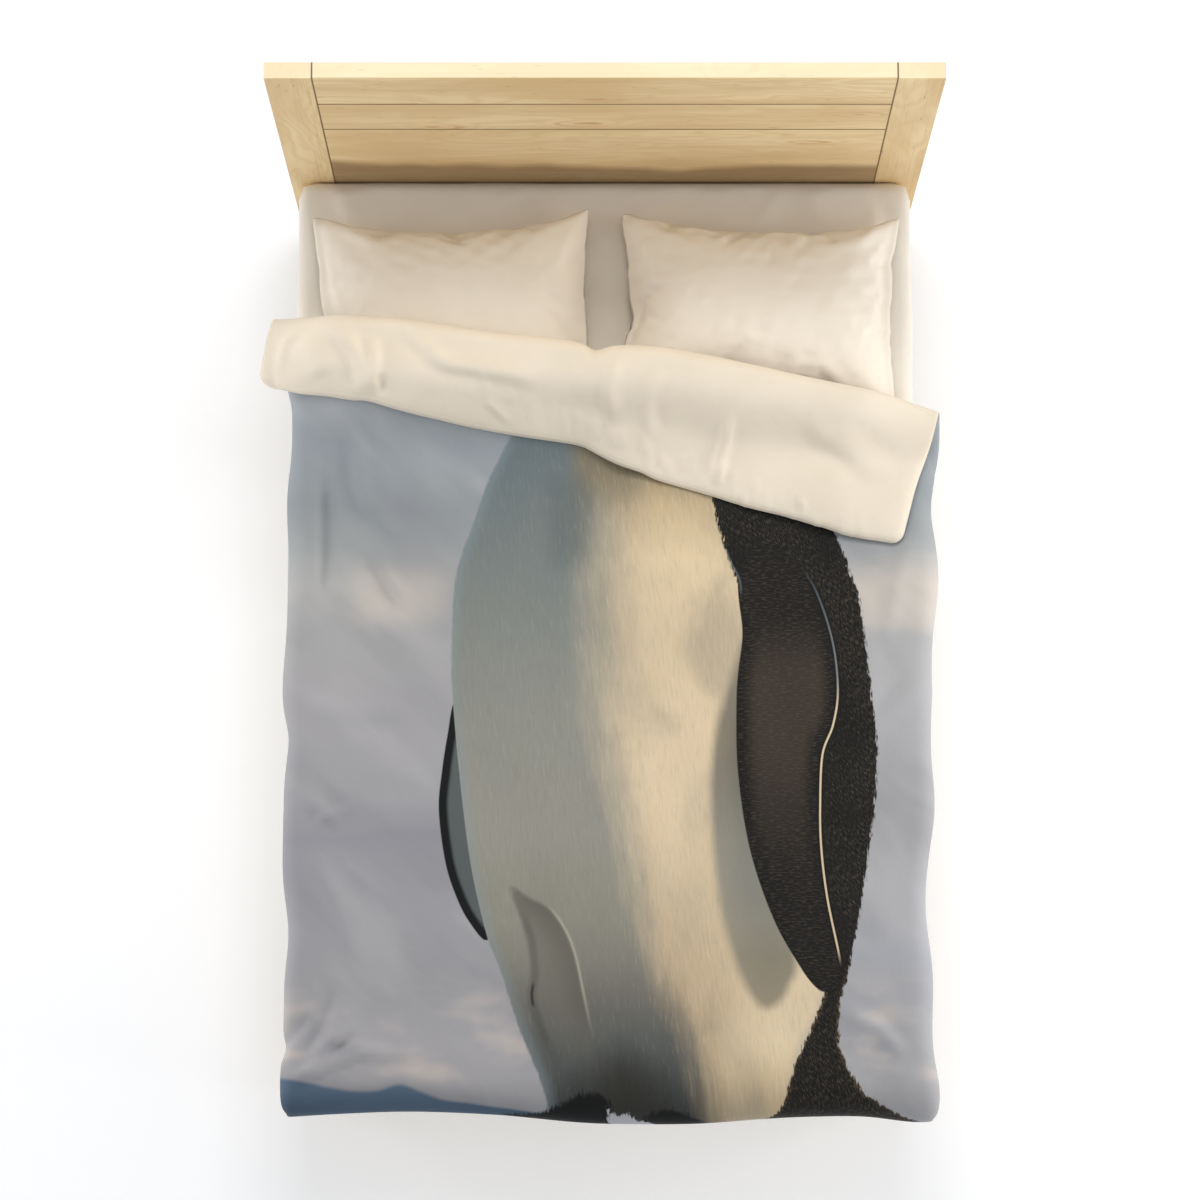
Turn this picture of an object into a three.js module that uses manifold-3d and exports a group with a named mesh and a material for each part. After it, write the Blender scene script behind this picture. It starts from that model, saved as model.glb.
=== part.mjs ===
// A dressed double bed: panelled headboard, slatted platform, mattress, fitted sheet, two pillows in
// their cases, and a duvet in a two-sided cover whose head end is turned down over itself.
// Millimetres, +Z up. The floor is z = 0, the head is at +Y and the foot at -Y.
import * as THREE from 'three';
import { mergeVertices } from 'three/addons/utils/BufferGeometryUtils.js';
import Module from 'manifold-3d';

const wasm = await Module();
wasm.setup();

// ---- Driving dimensions -----------------------------------------------------------------------

const GAP = 0.3;                  // between faces that touch on the real bed

const HEADBOARD = {
  width: 1400, height: 1250, thickness: 34, front: 1017.5, stile: 100,
  seams: [282, 458, 898, 1074],   // undersides of the planks, from the bottom one up
  tongue: 8, tongueWide: 10,      // tongue and groove between planks
  tenon: 12, tenonWide: 12,       // plank ends let into the stiles
  bevel: 2,                       // V-groove along each seam
};
const PLANK_NAMES = ['plank_bottom', 'plank_wide', 'plank_middle', 'plank_top'];

const RAIL = { outer: 690, thick: 25, low: 170, top: 300 };
const POST = { size: 60, foot: -974 };
const LEDGER = 22;
const SLAT = { count: 14, wide: 70, thick: 18, first: -860, last: 945 };
const BEAM = { wide: 40, tall: 70, legs: [-350, 350] };
const GLIDE = { radius: 14, tall: 6 };
const BOLT = { radius: 3, length: 70, headRadius: 8, headTall: 4, hex: 5, hexDeep: 2.4 };

const MATTRESS = { half: 680, halfLong: 994, centreY: 20.5, low: 302.8, top: 517.5, edge: 26, corner: 60 };
const SHEET = { cloth: 2.2, under: 60 };
const BED_TOP = MATTRESS.top + GAP + SHEET.cloth;

const PILLOW = {
  half: 308, halfTall: 220, seam: 35, crown: 85, belly: 31, cloth: 1.2,
  places: [
    { side: 'left', x: -330, y: 715, turn: 1.9 },
    { side: 'right', x: 337, y: 712, turn: -1.9 },
  ],
};

const DUVET = {
  half: 728, length: 1970, shift: 8, lift: 0.8,
  loft: 11.4, taper: 90, cloth: 1.2, clear: 0.4, inset: 12,
  sideFlat: 668, sideRadius: 24,
  footY: -975, footRadius: 62, hem: 420,
  foldY: 558, foldTurn: 6.9, foldRadius: 32, flapAir: 12,
};
// The pillows lift the duvet: from 0 at rampStart to its full height over rampLong.
const RAMP = { height: 122, start: 350, long: 220, fadeFrom: 560, fadeOver: 170, fade: 0.55 };

const ZIP = { half: 502, wide: 4.2, thick: 1.5, stop: 3, y: DUVET.footY - DUVET.footRadius - 1.6 };
const SLIDER = { x: 494, long: 10, wide: 7.6, tall: 4.4, slot: 1.4, lug: 1.2 };
const PULL = { wide: 6.4, arm: 1.4, thick: 1.4, window: 6.2, long: 24 };

// ---- Materials --------------------------------------------------------------------------------

const paint = (color, roughness, metalness = 0) =>
  new THREE.MeshStandardMaterial({ color, roughness, metalness });
const COLOURS = {
  panelWood: () => paint(0xdcc596, 0.5),
  frameWood: () => paint(0xd6b98a, 0.6),
  slatWood: () => paint(0xe0c9a0, 0.65),
  steel: () => paint(0x9a9da0, 0.35, 1),
  felt: () => paint(0x3b3936, 0.9),
  ticking: () => paint(0xf1eee6, 0.9),
  sheetCloth: () => paint(0xe9dfcc, 0.85),
  filling: () => paint(0xf6f4ef, 0.95),
  caseCloth: () => paint(0xe7dcc6, 0.85),
  printCloth: () => paint(0x9aa0a6, 0.85),
  creamCloth: () => paint(0xe8dcc4, 0.85),
  elastic: () => paint(0xeeeae0, 0.8),
  zipTape: () => paint(0xd8cfbc, 0.6),
  zipMetal: () => paint(0xb9b5a8, 0.3, 1),
};

// ---- Geometry helpers -------------------------------------------------------------------------

const radians = THREE.MathUtils.degToRad;
const mix = (a, b, share) => a + (b - a) * share;
const smooth = (x) => THREE.MathUtils.smoothstep(x, 0, 1);

function meshOf(name, geometry, material, at = [0, 0, 0]) {
  const mesh = new THREE.Mesh(geometry, material);
  mesh.name = name;
  mesh.position.set(...at);
  return mesh;
}

function groupOf(...children) {
  const group = new THREE.Group();
  group.add(...children.flat());
  return group;
}

function toSolid(geometry) {
  const bare = geometry.clone();
  bare.deleteAttribute('normal');
  bare.deleteAttribute('uv');
  const merged = mergeVertices(bare, 1e-4);
  return new wasm.Manifold(new wasm.Mesh({
    numProp: 3,
    vertProperties: new Float32Array(merged.attributes.position.array),
    triVerts: new Uint32Array(merged.index.array),
  }));
}

function toGeometry(solid) {
  const mesh = solid.getMesh();
  const geometry = new THREE.BufferGeometry();
  geometry.setAttribute('position', new THREE.BufferAttribute(mesh.vertProperties, 3));
  geometry.setIndex(new THREE.BufferAttribute(mesh.triVerts, 1));
  geometry.computeVertexNormals();
  return geometry;
}

function cut(geometry, ...tools) {
  const solid = tools.reduce((left, tool) => left.subtract(toSolid(tool)), toSolid(geometry));
  return toGeometry(solid);
}

function join(geometry, ...others) {
  const solid = others.reduce((left, other) => left.add(toSolid(other)), toSolid(geometry));
  return toGeometry(solid);
}

// A box between two corners, given as a [low, high] pair along each axis.
function span(x, y, z) {
  const box = new THREE.BoxGeometry(x[1] - x[0], y[1] - y[0], z[1] - z[0]);
  return box.translate((x[0] + x[1]) / 2, (y[0] + y[1]) / 2, (z[0] + z[1]) / 2);
}

function signedVolume(points, faces) {
  let volume = 0;
  for (let f = 0; f < faces.length; f += 3) {
    const [a, b, c] = [points[faces[f]], points[faces[f + 1]], points[faces[f + 2]]];
    volume += a.dot(new THREE.Vector3().crossVectors(b, c)) / 6;
  }
  return volume;
}

// Points and triangles to a geometry whose faces point out.
function closedGeometry(points, faces) {
  if (signedVolume(points, faces) < 0) faces.reverse();
  const geometry = new THREE.BufferGeometry().setFromPoints(points);
  geometry.setIndex(faces);
  geometry.computeVertexNormals();
  return geometry;
}

// A skin through rings of equal point count. A loop joins its last ring to its first; otherwise the
// first and last rings are closed with a fan. From ring inward on, the skin runs back inside itself,
// and its quads split along the other diagonal so that both faces of the cloth stay parallel.
function ringSolid(rings, { loop = false, inward = Infinity } = {}) {
  const n = rings[0].length;
  const points = rings.flat();
  const faces = [];
  for (let r = 0; r < rings.length - (loop ? 0 : 1); r++) {
    const next = (r + 1) % rings.length;
    for (let i = 0; i < n; i++) {
      const j = (i + 1) % n;
      const [a, b, c, d] = [r * n + i, r * n + j, next * n + j, next * n + i];
      faces.push(...(r < inward ? [a, b, c, a, c, d] : [a, b, d, b, c, d]));
    }
  }
  if (!loop) {
    [0, rings.length - 1].forEach((r, end) => {
      const middle = rings[r].reduce((sum, p) => sum.add(p), new THREE.Vector3()).divideScalar(n);
      points.push(middle);
      for (let i = 0; i < n; i++) {
        const pair = [r * n + i, r * n + (i + 1) % n];
        faces.push(points.length - 1, ...(end ? pair : pair.reverse()));
      }
    });
  }
  return closedGeometry(points, faces);
}

// A rounded rectangle lying flat at height z, with four points to each corner.
function flatRing(halfX, halfY, z, corner) {
  const ring = [];
  [[1, 1], [-1, 1], [-1, -1], [1, -1]].forEach(([sx, sy], quarter) => {
    for (let k = 0; k < 4; k++) {
      const angle = (quarter + k / 3) * Math.PI / 2;
      const x = sx * (halfX - corner) + corner * Math.cos(angle);
      const y = sy * (halfY - corner) + corner * Math.sin(angle);
      ring.push(new THREE.Vector3(x, y, z));
    }
  });
  return ring;
}

// ---- Headboard --------------------------------------------------------------------------------

// Plank section across its thickness (x) and height (y), with a tongue on top and a groove below.
function plankSection(low, high, grooved, tongued) {
  const { thickness: t, tongue, tongueWide, bevel } = HEADBOARD;
  const mid = t / 2;
  const half = tongueWide / 2;
  const bottom = low + GAP / 2;
  const top = tongued ? high - GAP / 2 : high;
  const points = [[0, bottom + bevel], [bevel, bottom]];
  if (grooved) {
    const wide = half + GAP;
    const deep = bottom + tongue + GAP;
    points.push([mid - wide, bottom], [mid - wide, deep], [mid + wide, deep], [mid + wide, bottom]);
  }
  points.push([t - bevel, bottom], [t, bottom + bevel], [t, top - bevel], [t - bevel, top]);
  if (tongued) {
    points.push([mid + half, top], [mid + half, top + tongue]);
    points.push([mid - half, top + tongue], [mid - half, top]);
  }
  points.push([bevel, top], [0, top - bevel]);
  return new THREE.Shape(points.map(([x, y]) => new THREE.Vector2(x, y)));
}

function plank(index) {
  const { width, stile, seams, height, tenon, tenonWide, thickness } = HEADBOARD;
  const low = seams[index];
  const high = seams[index + 1] ?? height;
  const half = width / 2 - stile - GAP / 2;
  const shape = plankSection(low, high, index > 0, index < seams.length - 1);
  const body = new THREE.ExtrudeGeometry(shape, { depth: 2 * half, bevelEnabled: false });
  body.rotateX(Math.PI / 2).rotateZ(Math.PI / 2).translate(-half, 0, 0);
  const across = [(thickness - tenonWide) / 2, (thickness + tenonWide) / 2];
  const tenonHeights = [low + 2 * tenon, high - 2 * tenon];
  const ends = [-1, 1].map((side) => {
    const reach = [side * (half - 1), side * (half + tenon)].sort((a, b) => a - b);
    return span(reach, across, tenonHeights);
  });
  return meshOf(PLANK_NAMES[index], join(body, ...ends), COLOURS.panelWood());
}

// A stile runs from its floor glide to the top of the headboard and is grooved for the plank ends.
function stile(name, side) {
  const { width, height, thickness, seams, tenon, tenonWide, stile: wide } = HEADBOARD;
  const x = side * (width - wide) / 2;
  const low = GLIDE.tall + GAP;
  const body = span([-wide / 2, wide / 2], [0, thickness], [low, height]);
  const inner = [-side * wide / 2, -side * (wide / 2 - tenon - GAP)].sort((a, b) => a - b);
  const across = [(thickness - tenonWide) / 2 - GAP, (thickness + tenonWide) / 2 + GAP];
  const groove = span(inner, across, [seams[0] + tenon, height - tenon]);
  const holes = headBoltPlaces(side).map(([bx, bz]) => boltHole().rotateZ(Math.PI)
    .translate(bx - x, thickness, bz));
  return meshOf(name, cut(body, groove, ...holes), COLOURS.panelWood(), [x, 0, 0]);
}

function headboard() {
  const group = groupOf(
    stile('stile_left', -1),
    stile('stile_right', 1),
    HEADBOARD.seams.map((_, index) => plank(index)),
  );
  group.position.y = HEADBOARD.front;
  return group;
}

// ---- Bolts ------------------------------------------------------------------------------------

const ROUND = 16;

// A bolt along +Y: its head's outer face at y = 0 and its tip at y = length.
function boltBody(extra) {
  const { radius, length, headRadius, headTall } = BOLT;
  const profile = [
    [0, -extra], [headRadius + extra, -extra], [headRadius + extra, headTall + extra],
    [radius + extra, headTall + extra], [radius + extra, length + extra], [0, length + extra],
  ];
  return new THREE.LatheGeometry(profile.map(([r, y]) => new THREE.Vector2(r, y)), ROUND);
}

const boltHole = () => boltBody(GAP);

function bolt(name, at, turn) {
  const { hex, hexDeep } = BOLT;
  const socket = new THREE.CylinderGeometry(hex / 2, hex / 2, 2 * hexDeep, 6);
  const mesh = meshOf(name, cut(boltBody(0), socket), COLOURS.steel(), at);
  mesh.rotation.z = turn;
  return mesh;
}

const BOLT_HEIGHTS = [205, 262];
const RAIL_MID = RAIL.outer - RAIL.thick / 2;
const POST_MID = RAIL.outer - POST.size / 2;
const FOOT_RAIL_MID = POST.foot + RAIL.thick / 2;
const FOOT_BOLT_HEIGHTS = { side: BOLT_HEIGHTS[0], foot: BOLT_HEIGHTS[1] };

const headBoltPlaces = (side) => BOLT_HEIGHTS.map((z) => [side * RAIL_MID, z]);

function bolts() {
  const back = HEADBOARD.front + HEADBOARD.thickness;
  return [['left', -1], ['right', 1]].flatMap(([word, side]) => [
    ...headBoltPlaces(side).map(([x, z], k) => bolt(`head_bolt_${word}_${k + 1}`, [x, back, z], Math.PI)),
    bolt(`foot_bolt_${word}_1`, [side * RAIL_MID, POST.foot, FOOT_BOLT_HEIGHTS.side], 0),
    bolt(`foot_bolt_${word}_2`, [side * RAIL.outer, FOOT_RAIL_MID, FOOT_BOLT_HEIGHTS.foot], side * Math.PI / 2),
  ]);
}

// ---- Platform frame ---------------------------------------------------------------------------

function sideRail(name, side) {
  const { thick, low, top } = RAIL;
  const foot = POST.foot + POST.size + GAP;
  const head = HEADBOARD.front - GAP;
  const body = span([-thick / 2, thick / 2], [foot, head], [low, top]);
  const back = HEADBOARD.front + HEADBOARD.thickness;
  const headHoles = BOLT_HEIGHTS.map((z) => boltHole().rotateZ(Math.PI).translate(0, back, z));
  const footHole = boltHole().translate(0, POST.foot, FOOT_BOLT_HEIGHTS.side);
  return meshOf(name, cut(body, ...headHoles, footHole), COLOURS.frameWood(), [side * RAIL_MID, 0, 0]);
}

function footPost(name, side) {
  const half = POST.size / 2;
  const middle = POST.foot + half;
  const body = span([-half, half], [-half, half], [GLIDE.tall + GAP, RAIL.top]);
  const alongSide = boltHole().translate(side * (RAIL_MID - POST_MID), -half, FOOT_BOLT_HEIGHTS.side);
  const acrossFoot = boltHole().rotateZ(side * Math.PI / 2)
    .translate(side * half, FOOT_RAIL_MID - middle, FOOT_BOLT_HEIGHTS.foot);
  const geometry = cut(body, alongSide, acrossFoot);
  return meshOf(name, geometry, COLOURS.frameWood(), [side * POST_MID, middle, 0]);
}

function footRail() {
  const half = RAIL.outer - POST.size - GAP;
  const body = span([-half, half], [-RAIL.thick / 2, RAIL.thick / 2], [RAIL.low, RAIL.top]);
  const holes = [-1, 1].map((side) => boltHole().rotateZ(side * Math.PI / 2)
    .translate(side * RAIL.outer, 0, FOOT_BOLT_HEIGHTS.foot));
  return meshOf('foot_rail', cut(body, ...holes), COLOURS.frameWood(), [0, FOOT_RAIL_MID, 0]);
}

function headRail() {
  const half = RAIL.outer - RAIL.thick - GAP;
  const body = new THREE.BoxGeometry(2 * half, RAIL.thick, RAIL.top - RAIL.low);
  const y = HEADBOARD.front - GAP - RAIL.thick / 2;
  return meshOf('head_rail', body, COLOURS.frameWood(), [0, y, (RAIL.low + RAIL.top) / 2]);
}

const LEDGER_TOP = RAIL.top - SLAT.thick - GAP;

function ledger(name, side) {
  const foot = POST.foot + POST.size + GAP;
  const head = HEADBOARD.front - RAIL.thick - 2 * GAP;
  const x = side * (RAIL.outer - RAIL.thick - GAP - LEDGER / 2);
  const body = new THREE.BoxGeometry(LEDGER, head - foot, LEDGER);
  return meshOf(name, body, COLOURS.frameWood(), [x, (foot + head) / 2, LEDGER_TOP - LEDGER / 2]);
}

function slats() {
  const { count, wide, thick, first, last } = SLAT;
  const long = 2 * (RAIL.outer - RAIL.thick - 2 * GAP);
  return Array.from({ length: count }, (_, k) => {
    const y = mix(first, last, k / (count - 1));
    const body = new THREE.BoxGeometry(long, wide, thick);
    return meshOf(`slat_${k + 1}`, body, COLOURS.slatWood(), [0, y, RAIL.top - thick / 2]);
  });
}

const BEAM_TOP = RAIL.top - SLAT.thick - GAP;

function centreBeam() {
  const foot = POST.foot + RAIL.thick + GAP;
  const head = HEADBOARD.front - RAIL.thick - 2 * GAP;
  const body = new THREE.BoxGeometry(BEAM.wide, head - foot, BEAM.tall);
  return meshOf('centre_beam', body, COLOURS.frameWood(), [0, (foot + head) / 2, BEAM_TOP - BEAM.tall / 2]);
}

function centreLeg(name, y) {
  const low = GLIDE.tall + GAP;
  const top = BEAM_TOP - BEAM.tall - GAP;
  const body = new THREE.BoxGeometry(BEAM.wide, BEAM.wide, top - low);
  return meshOf(name, body, COLOURS.frameWood(), [0, y, (low + top) / 2]);
}

function glides() {
  const stileX = (HEADBOARD.width - HEADBOARD.stile) / 2;
  const stileY = HEADBOARD.front + HEADBOARD.thickness / 2;
  const postY = POST.foot + POST.size / 2;
  const places = {
    head_left: [-stileX, stileY], head_right: [stileX, stileY],
    foot_left: [-POST_MID, postY], foot_right: [POST_MID, postY],
    centre_foot: [0, BEAM.legs[0]], centre_head: [0, BEAM.legs[1]],
  };
  return Object.entries(places).map(([word, [x, y]]) => {
    const disc = new THREE.CylinderGeometry(GLIDE.radius, GLIDE.radius, GLIDE.tall, 20);
    disc.rotateX(Math.PI / 2);
    return meshOf(`glide_${word}`, disc, COLOURS.felt(), [x, y, GLIDE.tall / 2]);
  });
}

function platform() {
  return groupOf(
    sideRail('side_rail_left', -1),
    sideRail('side_rail_right', 1),
    footRail(),
    headRail(),
    footPost('foot_post_left', -1),
    footPost('foot_post_right', 1),
    ledger('ledger_left', -1),
    ledger('ledger_right', 1),
    slats(),
    centreBeam(),
    centreLeg('centre_leg_foot', BEAM.legs[0]),
    centreLeg('centre_leg_head', BEAM.legs[1]),
    glides(),
    bolts(),
  );
}

// ---- Mattress and fitted sheet ----------------------------------------------------------------

// Rings from the top of the mattress to its underside, all moved out by grow.
function mattressRings(grow) {
  const { half, halfLong, low, top, edge, corner } = MATTRESS;
  const round = edge + grow;
  const ring = (inset, z) => flatRing(half + grow - inset, halfLong + grow - inset, z,
    Math.max(corner + grow - inset, 8));
  const bend = [0, 45, 90].map((turn) => ({
    inset: round * (1 - Math.sin(radians(turn))),
    fall: round * (1 - Math.cos(radians(turn))),
  }));
  const upper = bend.map(({ inset, fall }) => ring(inset, top + grow - fall));
  const lower = bend.map(({ inset, fall }) => ring(inset, low - grow + fall)).reverse();
  return [...upper, ...lower];
}

function mattress() {
  return meshOf('mattress', ringSolid(mattressRings(0)), COLOURS.ticking());
}

const UNDER_HALF = [MATTRESS.half - SHEET.under, MATTRESS.halfLong - SHEET.under];
const UNDER_CORNER = 12;

// The sheet wraps the mattress and turns in under it, where its hem leaves the middle open.
function fittedSheet() {
  const outer = mattressRings(GAP + SHEET.cloth);
  const inner = mattressRings(GAP).reverse();
  const hem = [GAP + SHEET.cloth, GAP].map((grow) =>
    flatRing(...UNDER_HALF, MATTRESS.low - grow, UNDER_CORNER));
  const geometry = ringSolid([...outer, ...hem, ...inner], { inward: outer.length + 1 });
  return meshOf('fitted_sheet', geometry, COLOURS.sheetCloth());
}

function sheetElastic() {
  const wide = 6;
  const [x, y] = UNDER_HALF.map((half) => half - GAP);
  const low = MATTRESS.low - SHEET.cloth;
  const high = MATTRESS.low - 2 * GAP;
  const rings = [[0, low], [0, high], [wide, high], [wide, low]];
  const corner = UNDER_CORNER - GAP;
  const geometry = ringSolid(
    rings.map(([inset, z]) => flatRing(x - inset, y - inset, z, corner - inset)), { loop: true });
  return meshOf('sheet_elastic', geometry, COLOURS.elastic());
}

function beddingBase() {
  const group = groupOf(mattress(), fittedSheet(), sheetElastic());
  group.position.y = MATTRESS.centreY;
  return group;
}

// ---- Pillows ----------------------------------------------------------------------------------

const LENS_POINTS = 14;
const STATIONS = [-1, -0.93, -0.75, -0.4, 0, 0.4, 0.75, 0.93, 1];

// A lens-shaped section of the pillow at share u of its half length, all drawn in by inset.
function lensRing(u, inset) {
  const { half, halfTall, crown, belly } = PILLOW;
  const tall = halfTall - 16 * (1 - u * u) - inset;
  const up = crown * Math.pow(1 - u * u, 0.6) + 4 - inset;
  const down = belly * Math.pow(1 - u * u, 0.4) + 3 - inset;
  return Array.from({ length: LENS_POINTS }, (_, k) => {
    const angle = k / LENS_POINTS * 2 * Math.PI;
    const rise = Math.sin(angle);
    const z = rise > 0 ? up * Math.pow(rise, 1.5) : -down * Math.pow(-rise, 0.7);
    return new THREE.Vector3(u * half, tall * Math.cos(angle), z);
  });
}

// The case is closed at one end and open at the other, where the pillow goes in.
function pillowcase(name) {
  const outer = STATIONS.map((u) => lensRing(u, 0));
  const closedEnd = STATIONS[1];
  const inner = STATIONS.filter((u) => u >= closedEnd).map((u) => lensRing(u, PILLOW.cloth));
  const geometry = ringSolid([...outer, ...inner.reverse()], { inward: outer.length });
  return meshOf(name, geometry, COLOURS.caseCloth());
}

function pillow(name) {
  const inside = STATIONS.slice(1, -1).map((u) => lensRing(u, PILLOW.cloth + GAP));
  inside[0].forEach((point) => { point.x += GAP; });
  return meshOf(name, ringSolid(inside), COLOURS.filling());
}

function pillows() {
  return PILLOW.places.map(({ side, x, y, turn }) => {
    const pair = groupOf(pillowcase(`pillowcase_${side}`), pillow(`pillow_${side}`));
    pair.position.set(x, y, BED_TOP + PILLOW.seam);
    pair.rotation.z = radians(turn) + (side === 'left' ? Math.PI : 0);
    return pair;
  });
}

// ---- Duvet ------------------------------------------------------------------------------------
// The duvet is described by its underside. s runs across it, t along it from the foot hem to the
// head hem. Its layers are offset from the underside towards its printed face.

const UNDERSIDE = BED_TOP + DUVET.lift;
const HEM_DROP = UNDERSIDE - DUVET.footRadius - DUVET.hem;
const FOOT_ARC = DUVET.footRadius * Math.PI / 2;
const FLAT_FROM = HEM_DROP + FOOT_ARC;
const FOLD_ANGLE = radians(DUVET.foldTurn);
const ALONG_FOLD = new THREE.Vector3(Math.cos(FOLD_ANGLE), -Math.sin(FOLD_ANGLE), 0);
const ACROSS_FOLD = new THREE.Vector3(Math.sin(FOLD_ANGLE), Math.cos(FOLD_ANGLE), 0);
const FLARE = 0.25;               // the hems lean out a little instead of hanging plumb

const foldAt = (s) => FLAT_FROM + DUVET.foldY - DUVET.footY - s * Math.tan(FOLD_ANGLE);

function fillAt(edgeDistance) {
  const share = Math.min(1, Math.max(0, edgeDistance / DUVET.taper));
  return 2 * DUVET.loft * Math.sqrt(1 - (1 - share) ** 2);
}

// Distance to the nearest hem, a little less at the corners, where two hems meet.
function edgeDistance(s, t) {
  const toSide = DUVET.half - Math.abs(s);
  const toEnd = Math.min(t, DUVET.length - t);
  return toSide * toEnd / Math.max(Math.hypot(toSide, toEnd), 1);
}

const COVERS = 2 * (DUVET.cloth + DUVET.clear);
const thicknessAt = (s, t) => fillAt(edgeDistance(s, t)) + COVERS;

// Height of the bed under the duvet, counting the pillows.
function bedHeight(x, y) {
  const rise = smooth((y - RAMP.start) / RAMP.long);
  const side = 1 - RAMP.fade * smooth((Math.abs(x) - RAMP.fadeFrom) / RAMP.fadeOver);
  return UNDERSIDE + RAMP.height * rise * side;
}

// How far out and how far down the underside is at distance run along a bend that starts at 0.
function bendOver(run, radius) {
  if (run <= 0) return { out: run, drop: 0 };
  const quarter = radius * Math.PI / 2;
  const angle = Math.min(run, quarter) / radius;
  const rest = Math.max(0, run - quarter);
  return { out: radius * Math.sin(angle) + rest * FLARE, drop: radius * (1 - Math.cos(angle)) + rest };
}

function mainUnderside(s, t) {
  const hang = smooth((foldAt(s) - t - 20) / 150);
  const side = bendOver(Math.abs(s) - DUVET.sideFlat, DUVET.sideRadius);
  const foot = bendOver(FLAT_FROM - t, DUVET.footRadius);
  const reach = mix(Math.abs(s), DUVET.sideFlat + side.out, hang);
  const x = Math.sign(s) * reach + DUVET.shift;
  const y = DUVET.footY - foot.out;
  return new THREE.Vector3(x, y, bedHeight(x, y) - Math.hypot(side.drop * hang, foot.drop));
}

// Past the fold line the duvet turns back over itself, mirrored in that line.
function underside(s, t) {
  const fold = foldAt(s);
  if (t <= fold) return mainUnderside(s, t);
  const radius = DUVET.foldRadius;
  const across = (t - fold) * Math.cos(FOLD_ANGLE);
  const along = (t - fold) * -Math.sin(FOLD_ANGLE);
  const hinge = mainUnderside(s, fold);
  const point = hinge.clone().addScaledVector(ALONG_FOLD, along);
  const angle = across / radius;
  if (angle < Math.PI) {
    point.addScaledVector(ACROSS_FOLD, radius * Math.sin(angle));
    point.z += radius * (1 - Math.cos(angle));
    return point;
  }
  const back = across - Math.PI * radius;
  point.addScaledVector(ACROSS_FOLD, -back);
  const fillBelow = fillAt(DUVET.half - Math.abs(point.x - DUVET.shift));
  const lying = bedHeight(point.x, point.y) + fillBelow + COVERS + DUVET.flapAir + thicknessAt(s, t);
  point.z = mix(hinge.z + 2 * radius, lying, smooth(back / 120));
  return point;
}

function facing(s, t) {
  const step = 10;
  const [west, east] = [Math.max(s - step, -DUVET.half), Math.min(s + step, DUVET.half)];
  const [south, north] = [Math.max(t - step, 0), Math.min(t + step, DUVET.length)];
  const acrossWay = underside(east, t).sub(underside(west, t));
  const alongWay = underside(s, north).sub(underside(s, south));
  return acrossWay.cross(alongWay).normalize();
}

const layerPoint = (s, t, offset) => underside(s, t).addScaledVector(facing(s, t), offset);

const HALF_COLUMNS = [300, 540, 610, DUVET.sideFlat, 687, 706, DUVET.half - DUVET.inset, DUVET.half];
const COLUMNS = [...HALF_COLUMNS.map((s) => -s).reverse(), 0, ...HALF_COLUMNS];
const MAIN_SHARES = [0.3, 0.6, 0.8, 0.86, 0.9, 0.94, 0.97, 1];
const FOLD_STEPS = 5;
const FLAP_SHARES = [0.2, 0.4, 0.6, 0.8, 1];

// The rows of the grid at one column, as lengths t: foot hem, foot bend, top, fold, flap, head hem.
function rowsAt(s) {
  const fold = foldAt(s);
  const turn = Math.PI * DUVET.foldRadius / Math.cos(FOLD_ANGLE);
  const last = DUVET.length - DUVET.inset;
  const thirds = [0, 1, 2, 3].map((k) => HEM_DROP + FOOT_ARC * k / 3);
  return [
    0, DUVET.inset, ...thirds,
    ...MAIN_SHARES.map((share) => mix(FLAT_FROM, fold, share)),
    ...Array.from({ length: FOLD_STEPS }, (_, k) => fold + turn * (k + 1) / FOLD_STEPS),
    ...FLAP_SHARES.map((share) => mix(fold + turn, last, share)),
    DUVET.length,
  ];
}

// A closed layer between two offsets over the grid, leaving out trim cells along every edge.
function layer(low, high, trim) {
  const columns = COLUMNS.slice(trim, COLUMNS.length - trim);
  const grid = columns.map((s) => rowsAt(s).slice(trim, rowsAt(s).length - trim).map((t) => [s, t]));
  const rows = grid[0].length;
  const points = [low, high].flatMap((offset) =>
    grid.flat().map(([s, t]) => layerPoint(s, t, offset(s, t))));
  const faces = [];
  const quad = (a, b, c, d) => faces.push(a, b, c, a, c, d);
  const at = (i, j, side) => (side * columns.length + i) * rows + j;
  for (let i = 0; i + 1 < columns.length; i++) {
    for (let j = 0; j + 1 < rows; j++) {
      quad(at(i, j, 1), at(i + 1, j, 1), at(i + 1, j + 1, 1), at(i, j + 1, 1));
      faces.push(at(i, j, 0), at(i + 1, j + 1, 0), at(i + 1, j, 0));
      faces.push(at(i, j, 0), at(i, j + 1, 0), at(i + 1, j + 1, 0));
    }
  }
  const [lastColumn, lastRow] = [columns.length - 1, rows - 1];
  for (let i = 0; i < lastColumn; i++) {
    quad(at(i, 0, 0), at(i + 1, 0, 0), at(i + 1, 0, 1), at(i, 0, 1));
    quad(at(i + 1, lastRow, 0), at(i, lastRow, 0), at(i, lastRow, 1), at(i + 1, lastRow, 1));
  }
  for (let j = 0; j < lastRow; j++) {
    quad(at(0, j + 1, 0), at(0, j, 0), at(0, j, 1), at(0, j + 1, 1));
    quad(at(lastColumn, j, 0), at(lastColumn, j + 1, 0), at(lastColumn, j + 1, 1), at(lastColumn, j, 1));
  }
  return closedGeometry(points, faces);
}

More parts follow.
